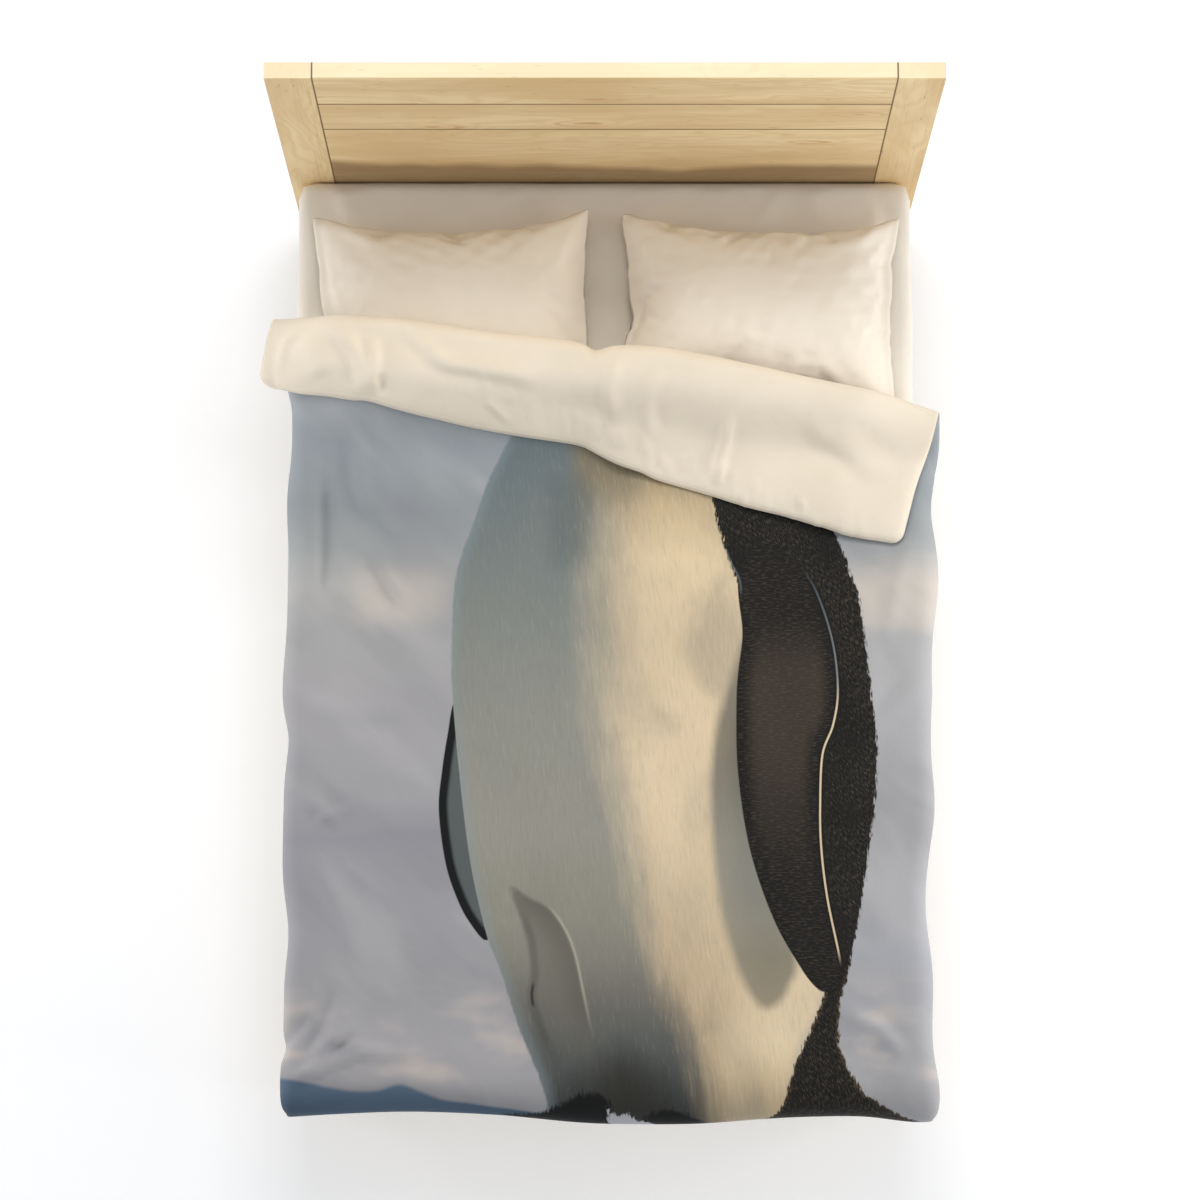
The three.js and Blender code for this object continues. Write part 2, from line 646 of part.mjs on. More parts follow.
function duvet() {
  const { cloth, clear } = DUVET;
  const fill = (s, t) => fillAt(edgeDistance(s, t));
  const back = layer(() => 0, () => cloth, 0);
  const insert = layer(() => cloth + clear, (s, t) => cloth + clear + fill(s, t), 1);
  const front = layer((s, t) => cloth + 2 * clear + fill(s, t), (s, t) => thicknessAt(s, t), 0);
  return groupOf(
    meshOf('duvet_cover_back', back, COLOURS.creamCloth()),
    meshOf('duvet_insert', insert, COLOURS.filling()),
    meshOf('duvet_cover_front', front, COLOURS.printCloth()),
  );
}

// ---- Zip --------------------------------------------------------------------------------------
// It closes the foot hem. Its chain lies along X just under the hem, and the pull hangs below.

const CHAIN_TOP = DUVET.hem - 2;
const CHAIN_MID = CHAIN_TOP - ZIP.thick / 2;

function zipChain() {
  const strip = span([-ZIP.half, ZIP.half], [-ZIP.wide / 2, ZIP.wide / 2], [-ZIP.thick / 2, ZIP.thick / 2]);
  const stopHalf = ZIP.wide / 2 + 0.8;
  const stops = [-1, 1].map((side) => {
    const reach = [side * (ZIP.half - 0.5), side * (ZIP.half + ZIP.stop)].sort((a, b) => a - b);
    return span(reach, [-stopHalf, stopHalf], [-ZIP.thick, ZIP.thick]);
  });
  return meshOf('zip_chain', join(strip, ...stops), COLOURS.zipTape(), [0, ZIP.y, CHAIN_MID]);
}

// The slider wraps the chain, is slotted on top for the tapes, and has a bridge below for the pull.
function zipSlider() {
  const { long, wide, tall, slot, lug } = SLIDER;
  const body = span([-long / 2, long / 2], [-wide / 2, wide / 2], [-tall / 2, tall / 2]);
  const channel = span([-long, long], [-ZIP.wide / 2 - GAP, ZIP.wide / 2 + GAP],
    [-ZIP.thick / 2 - GAP, ZIP.thick / 2 + GAP]);
  const tapeSlot = span([-long, long], [-slot / 2, slot / 2], [0, tall]);
  const under = -tall / 2;
  const bridgeLow = under - BRIDGE_GAP - lug;
  const bridge = span([-long / 2, long / 2], [-lug / 2, lug / 2], [bridgeLow, bridgeLow + lug]);
  const posts = [-1, 1].map((side) => {
    const reach = [side * long / 2, side * (long / 2 - lug)].sort((a, b) => a - b);
    return span(reach, [-lug / 2, lug / 2], [bridgeLow, under + 0.5]);
  });
  const geometry = cut(join(body, bridge, ...posts), channel, tapeSlot);
  return meshOf('zip_slider', geometry, COLOURS.zipMetal(), [SLIDER.x, ZIP.y, CHAIN_MID]);
}

const BRIDGE_GAP = 2.8;
const PULL_AXIS = CHAIN_MID - SLIDER.tall / 2 - BRIDGE_GAP / 2;

// The pull hangs from its crossbar, which turns inside the slider's bridge about Y.
function zipPull() {
  const { wide, arm, thick, window, long } = PULL;
  const plate = span([-thick / 2, thick / 2], [-wide / 2, wide / 2], [-long, thick / 2]);
  const hole = span([-thick, thick], [-wide / 2 + arm, wide / 2 - arm], [-window, -thick / 2]);
  const grip = span([-thick, thick], [-wide / 4, wide / 4], [-long + 5, -window - 5]);
  return meshOf('zip_pull', cut(plate, hole, grip), COLOURS.zipMetal(), [SLIDER.x, ZIP.y, PULL_AXIS]);
}

// ---- The bed ----------------------------------------------------------------------------------

const bed = groupOf(
  headboard(),
  platform(),
  beddingBase(),
  pillows(),
  duvet(),
  zipChain(),
  zipSlider(),
  zipPull(),
);

export default bed;
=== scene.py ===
"""Looks of the dressed double bed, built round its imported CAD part.

Metres, +Z up, head at +Y, foot at -Y. A point of the duvet is named by s, across it, and t, along it
from the foot hem. On the part that lies printed side up, x = s + SHIFT and y = t + FOOT_Y - FLAT_FROM.
"""
import math

import bpy
import numpy as np
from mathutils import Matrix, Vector


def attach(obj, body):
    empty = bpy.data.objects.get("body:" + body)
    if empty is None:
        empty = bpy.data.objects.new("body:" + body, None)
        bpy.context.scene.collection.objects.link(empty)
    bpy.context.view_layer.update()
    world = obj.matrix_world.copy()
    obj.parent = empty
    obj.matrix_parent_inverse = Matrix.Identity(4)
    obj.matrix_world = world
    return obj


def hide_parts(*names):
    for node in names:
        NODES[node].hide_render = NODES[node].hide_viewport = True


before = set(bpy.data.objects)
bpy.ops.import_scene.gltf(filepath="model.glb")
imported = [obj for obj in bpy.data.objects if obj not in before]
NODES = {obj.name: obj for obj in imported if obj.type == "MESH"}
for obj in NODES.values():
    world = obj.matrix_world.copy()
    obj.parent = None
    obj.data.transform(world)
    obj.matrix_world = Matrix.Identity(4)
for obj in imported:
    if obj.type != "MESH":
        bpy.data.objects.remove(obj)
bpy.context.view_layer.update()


# ---- Small helpers ----------------------------------------------------------------------------

def smooth(v):
    v = np.clip(v, 0, 1)
    return v * v * (3 - 2 * v)


def mix(a, b, share):
    return a + (b - a) * share


def colour(code):
    """A linear colour from a screen colour such as "E8DCC6"."""
    parts = [int(code[k:k + 2], 16) / 255 for k in (0, 2, 4)]
    linear = [c / 12.92 if c <= 0.04045 else ((c + 0.055) / 1.055) ** 2.4 for c in parts]
    return (*linear, 1.0)


def spline(points, closed=False, steps=8):
    """Points along a smooth curve through given ones."""
    p = np.array(points, float)
    if closed:
        p = np.vstack([p[-1:], p, p[:2]])
    else:
        p = np.vstack([2 * p[0] - p[1], p, 2 * p[-1] - p[-2]])
    made = []
    for a, b, c, d in zip(p, p[1:], p[2:], p[3:]):
        for u in np.arange(steps) / steps:
            made.append(0.5 * (2 * b + (c - a) * u + (2 * a - 5 * b + 4 * c - d) * u * u
                               + (3 * b - a - 3 * c + d) * u ** 3))
    if not closed:
        made.append(p[-2])
    return np.array(made)


def curve(points):
    """A smooth function through given (place, value) points."""
    line = spline(points, steps=12)
    return lambda v: np.interp(v, line[:, 0], line[:, 1])


def to_line(line, x, y):
    """Distance to a line of points, +1 or -1 for its left or right side, and the share of it passed."""
    best = np.full(x.shape, 1e9)
    side = np.ones(x.shape)
    share = np.zeros(x.shape)
    last = len(line) - 1
    for k in range(last):
        a, d = line[k], line[k + 1] - line[k]
        px, py = x - a[0], y - a[1]
        u = np.clip((px * d[0] + py * d[1]) / max(d @ d, 1e-12), 0, 1)
        gap = np.hypot(px - u * d[0], py - u * d[1])
        near = gap < best
        best = np.where(near, gap, best)
        side = np.where(near, np.where(d[0] * py - d[1] * px >= 0, 1.0, -1.0), side)
        share = np.where(near, (k + u) / last, share)
    return best, side, share


def to_shape(points, x, y):
    """Distance to a smooth closed outline, positive inside it."""
    line = spline(points, closed=True)
    ring = np.vstack([line, line[:1]])
    gap = to_line(ring, x, y)[0]
    inside = np.zeros(x.shape, bool)
    for a, b in zip(ring[:-1], ring[1:]):
        rise = b[1] - a[1]
        if abs(rise) > 1e-12:
            crossing = (b[0] - a[0]) * (y - a[1]) / rise + a[0]
            inside ^= ((a[1] > y) != (b[1] > y)) & (x < crossing)
    return np.where(inside, gap, -gap)


def ripples(x, y, size, seed, stretch=1.0, count=24):
    """Smooth random waves about `size` long, of about unit height."""
    rng = np.random.default_rng(seed)
    total = np.zeros(x.shape)
    for _ in range(count):
        angle, phase = rng.uniform(0, math.pi), rng.uniform(0, 2 * math.pi)
        pace = 2 * math.pi / (size * rng.uniform(0.7, 1.5))
        total += np.cos(pace * (math.cos(angle) * x + math.sin(angle) * y / stretch) + phase)
    return total * math.sqrt(2 / count)


def creases(x, y, listed):
    """Height of soft folds. Each is (points, width, height, lean): lean 1 is a step to one side."""
    total = np.zeros(x.shape)
    for points, width, height, lean in listed:
        gap, side, share = to_line(spline(points, steps=5), x, y)
        across = gap * side / width
        ends = smooth(share * 3.5) * smooth((1 - share) * 3.5)
        bell = np.exp(-across ** 2)
        total += height * ends * bell * ((1 - abs(lean)) + 2.2 * lean * across)
    return total


def surface_normals(points):
    """Unit normals of a grid of points, (rows, columns, 3)."""
    ahead = np.gradient(points, axis=0)
    beside = np.gradient(points, axis=1)
    n = np.cross(beside, ahead)
    return n / np.maximum(np.linalg.norm(n, axis=2, keepdims=True), 1e-12)


def blurred(grid, times):
    """A grid of points with its small bends smoothed away."""
    for _ in range(times):
        padded = np.pad(grid, ((1, 1), (1, 1), (0, 0)), mode="reflect", reflect_type="odd")
        along = (padded[:-2, 1:-1] + 2 * padded[1:-1, 1:-1] + padded[2:, 1:-1]) / 4
        across = (padded[1:-1, :-2] + 2 * padded[1:-1, 1:-1] + padded[1:-1, 2:]) / 4
        grid = (along + across) / 2
    return grid


def make_object(name, points, faces, smooth_shading=True):
    mesh = bpy.data.meshes.new(name)
    mesh.from_pydata([tuple(p) for p in np.asarray(points, float)], [], [list(map(int, f)) for f in faces])
    mesh.validate()
    if smooth_shading:
        mesh.shade_smooth()
    made = bpy.data.objects.new(name, mesh)
    bpy.context.scene.collection.objects.link(made)
    return made


def quads(index):
    """Faces between neighbours in a grid of vertex numbers."""
    return np.stack([index[:-1, :-1], index[:-1, 1:], index[1:, 1:], index[1:, :-1]], axis=-1).reshape(-1, 4)


def closed_layer(name, low, high):
    """A closed sheet between two grids of points; its first half of vertices is the high side."""
    rows, columns = high.shape[:2]
    count = rows * columns
    index = np.arange(count).reshape(rows, columns)
    top, under = quads(index), quads(index + count)[:, ::-1]
    rim = np.concatenate([index[:, 0], index[-1, 1:], index[-2::-1, -1], index[0, -2:0:-1]])
    following = np.roll(rim, -1)
    wall = np.stack([rim, following, following + count, rim + count], axis=-1)
    points = np.concatenate([high.reshape(-1, 3), low.reshape(-1, 3)])
    return make_object(name, points, np.concatenate([top, under, wall]))


def add_attribute(made, name, values):
    values = np.asarray(values, np.float32)
    kind = "FLOAT_VECTOR" if values.ndim == 2 else "FLOAT"
    layer = made.data.attributes.new(name, kind, "POINT")
    layer.data.foreach_set("vector" if values.ndim == 2 else "value", values.ravel())


def modifier(made, kind, **settings):
    added = made.modifiers.new(kind.title(), kind)
    for key, value in settings.items():
        setattr(added, key, value)


def vertices_of(made):
    points = np.zeros(len(made.data.vertices) * 3)
    made.data.vertices.foreach_get("co", points)
    return points.reshape(-1, 3)


def dress(made, material):
    made.data.materials.clear()
    made.data.materials.append(material)


def declare(made, node=None):
    """Fixes a piece to the root body and hides the CAD node it stands for, if one is given."""
    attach(made, "root")
    if node:
        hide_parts(node)


# ---- Camera, floor and light ------------------------------------------------------------------

def add_camera():
    data = bpy.data.cameras.new("camera")
    data.lens = 120
    data.sensor_width = 36
    data.clip_end = 60
    camera = bpy.data.objects.new("camera", data)
    camera.location = (-0.010, -1.530, 9.117)
    camera.rotation_euler = (math.radians(10.51), 0, 0)
    bpy.context.scene.collection.objects.link(camera)
    bpy.context.scene.camera = camera


def add_softbox(name, place, aim, size, power, tint):
    data = bpy.data.lights.new(name, "AREA")
    data.shape = "RECTANGLE"
    data.size, data.size_y = size
    data.energy = power
    data.color = tint
    light = bpy.data.objects.new(name, data)
    light.location = place
    direction = Vector(aim) - Vector(place)
    light.rotation_euler = direction.to_track_quat("-Z", "Y").to_euler()
    bpy.context.scene.collection.objects.link(light)


def add_studio():
    scene = bpy.context.scene
    scene.view_settings.view_transform = "Standard"
    world = bpy.data.worlds.new("studio")
    world.use_nodes = True
    background = world.node_tree.nodes["Background"]
    background.inputs["Color"].default_value = (0.96, 0.98, 1.0, 1)
    nodes, links = world.node_tree.nodes, world.node_tree.links
    height = nodes.new("ShaderNodeSeparateXYZ")
    links.new(nodes.new("ShaderNodeTexCoord").outputs["Generated"], height.inputs[0])
    fade = nodes.new("ShaderNodeMapRange")
    for socket, value in zip(fade.inputs[1:5], (0.12, 0.42, 0.80, 0.33)):
        socket.default_value = value
    links.new(height.outputs[2], fade.inputs[0])
    links.new(fade.outputs[0], background.inputs["Strength"])
    scene.world = world
    warm, white = (1.0, 0.955, 0.90), (1.0, 0.985, 0.96)
    add_softbox("key_right", (3.6, -0.6, 1.7), (0, 0, 0.5), (2.6, 1.6), 76, warm)
    add_softbox("fill_left", (-3.8, -0.2, 1.5), (0, 0, 0.5), (2.6, 1.6), 54, warm)
    add_softbox("overhead", (0.3, 1.5, 6.5), (0, -0.1, 0.5), (2.4, 1.4), 54, white)
    add_softbox("head_light", (0.0, 2.7, 4.7), (0, 0.1, 0.6), (2.4, 0.8), 48, white)
    add_softbox("edge_light", (0.0, 1.75, 2.5), (0, 1.05, 1.25), (2.4, 0.3), 9, white)


FLOOR_REACH, FLOOR_LEVEL = 30, -0.0006


def add_floor():
    signs = ((-1, -1), (1, -1), (1, 1), (-1, 1))
    corners = [(x * FLOOR_REACH, y * FLOOR_REACH, FLOOR_LEVEL) for x, y in signs]
    floor = make_object("floor", corners, [(0, 1, 2, 3)])
    paint = Graph("studio_floor", roughness=0.9)
    grain = paint.noise(paint.place(), 30, detail=3)
    paint.colour(paint.blend(grain, "DFE1E6", "E3E5EA"))
    paint.shader.inputs["Emission Color"].default_value = (0.965, 0.985, 1, 1)
    paint.shader.inputs["Emission Strength"].default_value = 0.35
    dress(floor, paint.material)


# ---- Materials --------------------------------------------------------------------------------

class Level:
    """What a node gives out. Numbers can be added, subtracted and multiplied as in a formula."""

    def __init__(self, graph, socket):
        self.graph, self.socket = graph, socket

    def __add__(self, other):
        return self.graph.math("ADD", self, other)

    def __sub__(self, other):
        return self.graph.math("SUBTRACT", self, other)

    def __rsub__(self, other):
        return self.graph.math("SUBTRACT", other, self)

    def __mul__(self, other):
        return self.graph.math("MULTIPLY", self, other)


class Graph:
    """A node material round one Principled shader. A colour may be given as a screen code."""

    def __init__(self, name, roughness=0.8, **settings):
        self.material = bpy.data.materials.new(name)
        self.material.use_nodes = True
        self.tree = self.material.node_tree
        self.shader = self.tree.nodes["Principled BSDF"]
        self.shader.inputs["Roughness"].default_value = roughness
        for key, value in settings.items():
            self.shader.inputs[key.replace("_", " ").title().replace("Ior", "IOR")].default_value = value

    def feed(self, socket, value):
        if isinstance(value, Level):
            self.tree.links.new(value.socket, socket)
        else:
            socket.default_value = colour(value) if isinstance(value, str) else value

    def node(self, kind, inputs=(), out=0, **props):
        made = self.tree.nodes.new("ShaderNode" + kind)
        for key, value in props.items():
            setattr(made, key, value)
        pairs = inputs.items() if isinstance(inputs, dict) else enumerate(inputs)
        for key, value in pairs:
            self.feed(made.inputs[key], value)
        return Level(self, made.outputs[out])

    def place(self):
        return self.node("TexCoord", out="Object")

    def attribute(self, name, vector=False):
        return self.node("Attribute", out="Vector" if vector else "Fac", attribute_name=name)

    def split(self, vector):
        made = self.tree.nodes.new("ShaderNodeSeparateXYZ")
        self.feed(made.inputs[0], vector)
        return [Level(self, output) for output in made.outputs]

    def join(self, x, y, z=0.0):
        return self.node("CombineXYZ", (x, y, z))

    def scaled(self, vector, by):
        return self.node("VectorMath", (vector, by), operation="MULTIPLY")

    def shifted(self, vector, by):
        return self.node("VectorMath", (vector, by), operation="ADD")

    def noise(self, vector, scale, detail=2.0, roughness=0.5, distortion=0.0):
        return self.node("TexNoise", {"Vector": vector, "Scale": scale, "Detail": detail,
                                      "Roughness": roughness, "Distortion": distortion})

    def grain(self, vector, pace, **settings):
        """Noise with its own pace along each axis."""
        return self.noise(self.scaled(vector, pace), 1.0, **settings)

    def cells(self, vector, out="Distance"):
        return self.node("TexVoronoi", {"Vector": vector, "Scale": 1.0}, out=out)

    def math(self, operation, a, b=0.0):
        return self.node("Math", (a, b), operation=operation)

    def ramp(self, value, low, high, to_low=0.0, to_high=1.0):
        return self.node("MapRange", (value, low, high, to_low, to_high), interpolation_type="SMOOTHSTEP")

    def blend(self, share, a, b):
        return self.node("MixRGB", (share, a, b))

    def over(self, tone, paint, *shares):
        """The tone with `paint` over it, as strongly as the product of the shares."""
        strength = shares[0]
        for share in shares[1:]:
            strength = strength * share
        return self.blend(strength, tone, paint)

    def colour(self, value):
        self.feed(self.shader.inputs["Base Color"], value)

    def rough(self, value):
        self.feed(self.shader.inputs["Roughness"], value)

    def around(self, noise, size):
        """A noise as a length that swings half of `size` to each side of nothing."""
        return (noise - 0.5) * size

    def window(self, value, start, risen, falling, end):
        """1 between `risen` and `falling`, 0 outside `start` and `end`."""
        return self.ramp(value, start, risen) * self.ramp(value, end, falling)

    def near_line(self, name, outer, inner):
        """1 on a stored line, 0 beyond `outer` from it."""
        return self.ramp(self.math("ABSOLUTE", self.attribute(name)), outer, inner)

    def gradient(self, value, stops):
        """A colour that runs through (value, screen colour) stops, lowest value first."""
        low, high = stops[0][0], stops[-1][0]
        made = self.tree.nodes.new("ShaderNodeValToRGB")
        self.feed(made.inputs[0], self.node("MapRange", (value, low, high)))
        elements = made.color_ramp.elements
        elements[0].color = colour(stops[0][1])
        elements[-1].color = colour(stops[-1][1])
        for place, code in stops[1:-1]:
            elements.new((place - low) / (high - low)).color = colour(code)
        return Level(self, made.outputs[0])

    def bump(self, *layers):
        """Each layer is (height, strength, distance)."""
        normal = None
        for height, strength, distance in layers:
            inputs = {"Strength": strength, "Distance": distance, "Height": height}
            if normal is not None:
                inputs["Normal"] = normal
            normal = self.node("Bump", inputs, out="Normal")
        self.feed(self.shader.inputs["Normal"], normal)


def weave(g, where, pitch=0.0011):
    """Height of a plain weave with slightly uneven threads."""
    wander = g.noise(where, 60)
    x, y, z = g.split(g.shifted(where, g.scaled(g.join(wander, wander, wander), (pitch, pitch, pitch))))
    pace = 2 * math.pi / pitch
    return g.math("SINE", (x + z) * pace) * g.math("SINE", (y - z) * pace)


def hem_seam(g):
    """The stitched line a little inside a cover's hem."""
    return g.ramp(g.math("ABSOLUTE", g.attribute("hem_gap") - SEAM_INSET), 0.0, 0.0018)


def cloth(name, base, deep, pitch=0.0011, roughness=0.86, sheen=0.10, seamed=False):
    """Brushed woven cloth: weave, fine nap, small crumples and faint unevenness of the dye."""
    g = Graph(name, roughness=roughness, sheen_weight=sheen, sheen_roughness=0.45, specular_ior_level=0.15)
    where = g.place()
    cloudy = g.noise(where, 9, detail=3, roughness=0.6)
    nap = g.noise(where, 900)
    tone = g.blend(g.ramp(cloudy, 0.3, 0.72, 0.0, 0.5), base, deep)
    g.colour(g.over(tone, deep, g.ramp(nap, 0.35, 0.75, 0.0, 0.12)))
    g.rough(g.ramp(nap, 0.2, 0.8, roughness - 0.06, min(roughness + 0.06, 1)))
    crumple = g.noise(where, 30, detail=4, roughness=0.55, distortion=0.9)
    layers = [(weave(g, where, pitch), 0.25, 0.00012), (nap, 0.3, 0.0003), (cloudy, 0.25, 0.002),
              (crumple, 0.30, 0.0022)]
    if seamed:
        layers.append((hem_seam(g), 0.4, 0.0008))
    g.bump(*layers)
    return g.material


def wood_swirls(g, where):
    """The odd knot, and fine flecks, as two shares."""
    swirl_place = g.scaled(where, (3.4, 9.5, 3.0))
    few = g.ramp(g.split(g.cells(swirl_place, "Color"))[0], 0.80, 0.82)
    knot = few * g.ramp(g.cells(swirl_place), 0.42, 0.03)
    fleck_place = g.scaled(where, (30, 230, 230))
    picked = g.ramp(g.split(g.cells(fleck_place, "Color"))[1], 0.955, 0.97)
    return knot, g.ramp(g.cells(fleck_place), 0.36, 0.14) * picked


def wood(name, light, dark, along, seed, gloss=0.56, grooves=(), top=None, painted_shadow_level=None):
    """Pale wood sawn lengthwise: growth rings seen from the side, fine pores, flecks and small knots.

    `grooves` are (axis, place, width) of seams that hold a brown line. Above height `top` it is paler, a
    painted highlight for the light on the top face, and towards height `painted_shadow_level` darker, with a
    wavy edge, a painted shadow for the shade just above the mattress and pillows."""
    g = Graph(name, roughness=gloss, specular_ior_level=0.22)
    here = g.split(g.place())
    x, y, z = here
    run, across, deep = {"X": (x, z, y), "Z": (z, x, y), "Y": (y, x, z)}[along]
    where = g.shifted(g.join(run, across, deep), (seed * 1.7, seed * 0.37, seed * 0.11))
    bend = g.grain(where, (1.5, 4.5, 4.5), detail=3, roughness=0.55, distortion=0.6)
    knot, fleck = wood_swirls(g, where)
    lines = g.split(where)[1] * 70.0 + bend * 34.0 + knot * 7.0
    rings = g.ramp(g.math("SINE", lines * 2.2), -0.6, 1.0)
    streaks = g.grain(where, (3.5, 210, 210), detail=3, roughness=0.7)
    tone = g.blend(g.ramp(g.grain(where, (1.6, 9, 9)), 0.3, 0.7), light, dark)
    tone = g.over(tone, dark, rings, 0.42)
    tone = g.over(tone, "BE9660", g.ramp(streaks, 0.45, 0.8, 0.0, 0.34))
    tone = g.over(tone, "9A6C3C", fleck, 0.6)
    tone = g.over(tone, "B98C55", g.ramp(knot, 0.35, 0.9), g.ramp(rings, 0.2, 0.8, 0.10, 0.5))
    if top is not None:
        # Painted highlight: the top face is made paler, as if lit from above.
        tone = g.over(tone, "FFF3D2", g.ramp(z, top - 0.0016, top - 0.0004, 0.0, 0.60))
    if painted_shadow_level is not None:
        # Painted shadow: a wavy darker band low on the planks, standing in for the shade just above the
        # mattress and pillows.
        wavy = z + g.around(g.grain(where, (3.2, 2, 2)), 0.16)
        tone = g.over(tone, "7A5C3B", g.ramp(wavy, painted_shadow_level + 0.135, painted_shadow_level + 0.070, 0.0, 0.68))
    for axis, place, width in grooves:
        away = g.math("ABSOLUTE", here["XYZ".index(axis)] - place)
        tone = g.over(tone, "5E3E1F", g.ramp(away, width, width * 0.5, 0.0, 0.9))
    g.colour(tone)
    g.rough(g.ramp(streaks, 0.3, 0.8, gloss - 0.06, gloss + 0.12))
    g.bump((g.grain(where, (22, 900, 900), detail=1), 0.18, 0.0003), (rings, 0.12, 0.0004))
    return g.material


def metal(name, base, roughness):
    """Brushed metal with a little wear."""
    g = Graph(name, roughness=roughness, metallic=1.0)
    lines = g.grain(g.place(), (40, 40, 900), detail=3)
    wear = g.noise(g.place(), 160, detail=4, roughness=0.7)
    g.colour(g.blend(g.ramp(wear, 0.5, 0.8, 0.0, 0.35), base, "6E6A63"))
    g.rough(g.ramp(lines, 0.2, 0.8, roughness - 0.08, roughness + 0.12))
    g.bump((lines, 0.15, 0.0001), (wear, 0.1, 0.0003))
    return g.material


def felt(name):
    g = Graph(name, roughness=0.95, sheen_weight=0.4)
    hairs = g.noise(g.place(), 1400, detail=4, roughness=0.8)
    g.colour(g.blend(g.ramp(hairs, 0.3, 0.7), "3A3836", "6B6864"))
    g.bump((hairs, 0.8, 0.0012))
    return g.material


# ---- The duvet's shape ------------------------------------------------------------------------

HALF, LENGTH, SHIFT = 0.728, 1.970, 0.008
UNDERSIDE = 0.5208              # height of the underside on the mattress
LOFT, TAPER = 0.0114, 0.090     # half the filling's thickness, and how far in from a hem it grows
CLOTH, CLEAR, PLAY = 0.0012, 0.0004, 0.00008
FABRIC = 0.0011                 # thickness of the sheet and the pillowcases
SEAM_INSET = 0.008              # from a cover's hem to its stitched line
ROUNDING = 0.026                # radius of the cover's corners
SIDE_FLAT, SIDE_RADIUS = 0.668, 0.024
FOOT_Y, FOOT_RADIUS, HEM_DROP = -0.975, 0.062, 0.0388
FLAT_FROM = HEM_DROP + FOOT_RADIUS * math.pi / 2
FOLD_Y, FOLD_TURN, FOLD_RADIUS = 0.558, math.radians(6.9), 0.032
FLAP_AIR, FLARE = 0.012, 0.25
COVERS = 2 * (CLOTH + CLEAR)
ACROSS_FOLD = (math.sin(FOLD_TURN), math.cos(FOLD_TURN))
ALONG_FOLD = (math.cos(FOLD_TURN), -math.sin(FOLD_TURN))

# How the edges wander, as (x or y, metres moved).
FOLD_WANDER = curve([
    (-0.74, -0.006), (-0.63, 0.0), (-0.54, 0.008), (-0.40, 0.013), (-0.25, 0.007), (-0.10, 0.010),
    (-0.045, 0.004), (-0.015, -0.006), (0.03, 0.010), (0.12, 0.018), (0.25, 0.012), (0.40, 0.0),
    (0.51, -0.007), (0.61, -0.012), (0.68, -0.020), (0.74, -0.030)])
HEM_WANDER = curve([
    (-0.76, -0.003), (-0.72, -0.010), (-0.66, -0.022), (-0.59, -0.024), (-0.55, -0.020), (-0.50, -0.006),
    (-0.34, 0.0), (-0.21, 0.014), (-0.14, 0.021), (-0.054, 0.029), (-0.01, 0.022), (0.033, 0.013),
    (0.08, 0.005), (0.12, -0.005), (0.23, -0.009), (0.32, -0.014), (0.40, -0.015), (0.48, -0.018),
    (0.53, -0.023), (0.60, -0.018), (0.66, -0.012)])
LEFT_WANDER = curve([
    (-1.10, 0.004), (-0.90, 0.008), (-0.77, 0.010), (-0.64, 0.018), (-0.46, 0.002), (-0.38, 0.003),
    (-0.25, 0.015), (-0.14, -0.003), (0.06, 0.010), (0.24, 0.006), (0.42, 0.018), (0.6, 0.010)])
RIGHT_WANDER = curve([
    (-1.10, 0.004), (-1.0, -0.003), (-0.89, -0.013), (-0.64, -0.019), (-0.50, -0.014), (-0.355, 0.0),
    (-0.11, -0.003), (0.09, 0.009), (0.26, 0.001), (0.42, 0.017), (0.6, 0.012)])
FOOT_WANDER = curve([
    (-0.74, 0.0), (-0.62, -0.009), (-0.47, -0.016), (-0.37, -0.016), (-0.22, -0.009), (-0.06, 0.006),
    (0.05, 0.010), (0.20, 0.009), (0.34, -0.001), (0.45, -0.006), (0.56, -0.006), (0.67, 0.006),
    (0.74, 0.002)])


def fill_at(gap):
    return 2 * LOFT * np.sqrt(1 - (1 - np.clip(gap / TAPER, 0, 1)) ** 2)


def edge_distance(s, t):
    """About how far a point is from the hem, whose four corners are rounded."""
    to_side = HALF - np.abs(s)
    to_end = np.minimum(t, LENGTH - t)
    sharp = to_side * to_end / np.maximum(np.hypot(to_side, to_end), 0.001)
    over, past = ROUNDING - to_side, ROUNDING - to_end
    rounded = np.maximum(ROUNDING - np.hypot(over, past), 0)
    return np.where((over > 0) & (past > 0), np.minimum(sharp, rounded), sharp)


def round_corners(s, t):
    """Draws the grid's square corners in onto an arc."""
    p = np.clip(1 - (HALF - np.abs(s)) / ROUNDING, 0, 1)
    q = np.clip(1 - np.minimum(t, LENGTH - t) / ROUNDING, 0, 1)
    in_s = ROUNDING * p * (1 - np.sqrt(1 - q * q / 2))
    in_t = ROUNDING * q * (1 - np.sqrt(1 - p * p / 2))
    return s - np.sign(s) * in_s, t + np.where(t < LENGTH / 2, in_t, -in_t)


def bed_height(x, y):
    """Height that the duvet's underside lies at: the mattress, and the pillows under its head end."""
    side = 1 - 0.55 * smooth((np.abs(x) - 0.56) / 0.17)
    return UNDERSIDE + 0.122 * smooth((y - 0.35) / 0.22) * side


def bend_over(run, radius):
    """How far out and down a cloth is at distance run along a bend that starts at 0."""
    quarter = radius * math.pi / 2
    angle = np.clip(run, 0, quarter) / radius
    rest = np.maximum(run - quarter, 0)
    out = np.minimum(run, 0) + radius * np.sin(angle) + rest * FLARE
    return out, radius * (1 - np.cos(angle)) + rest


def fold_at(s):
    return FLAT_FROM + FOLD_Y - FOOT_Y - s * math.tan(FOLD_TURN) + FOLD_WANDER(s + SHIFT)


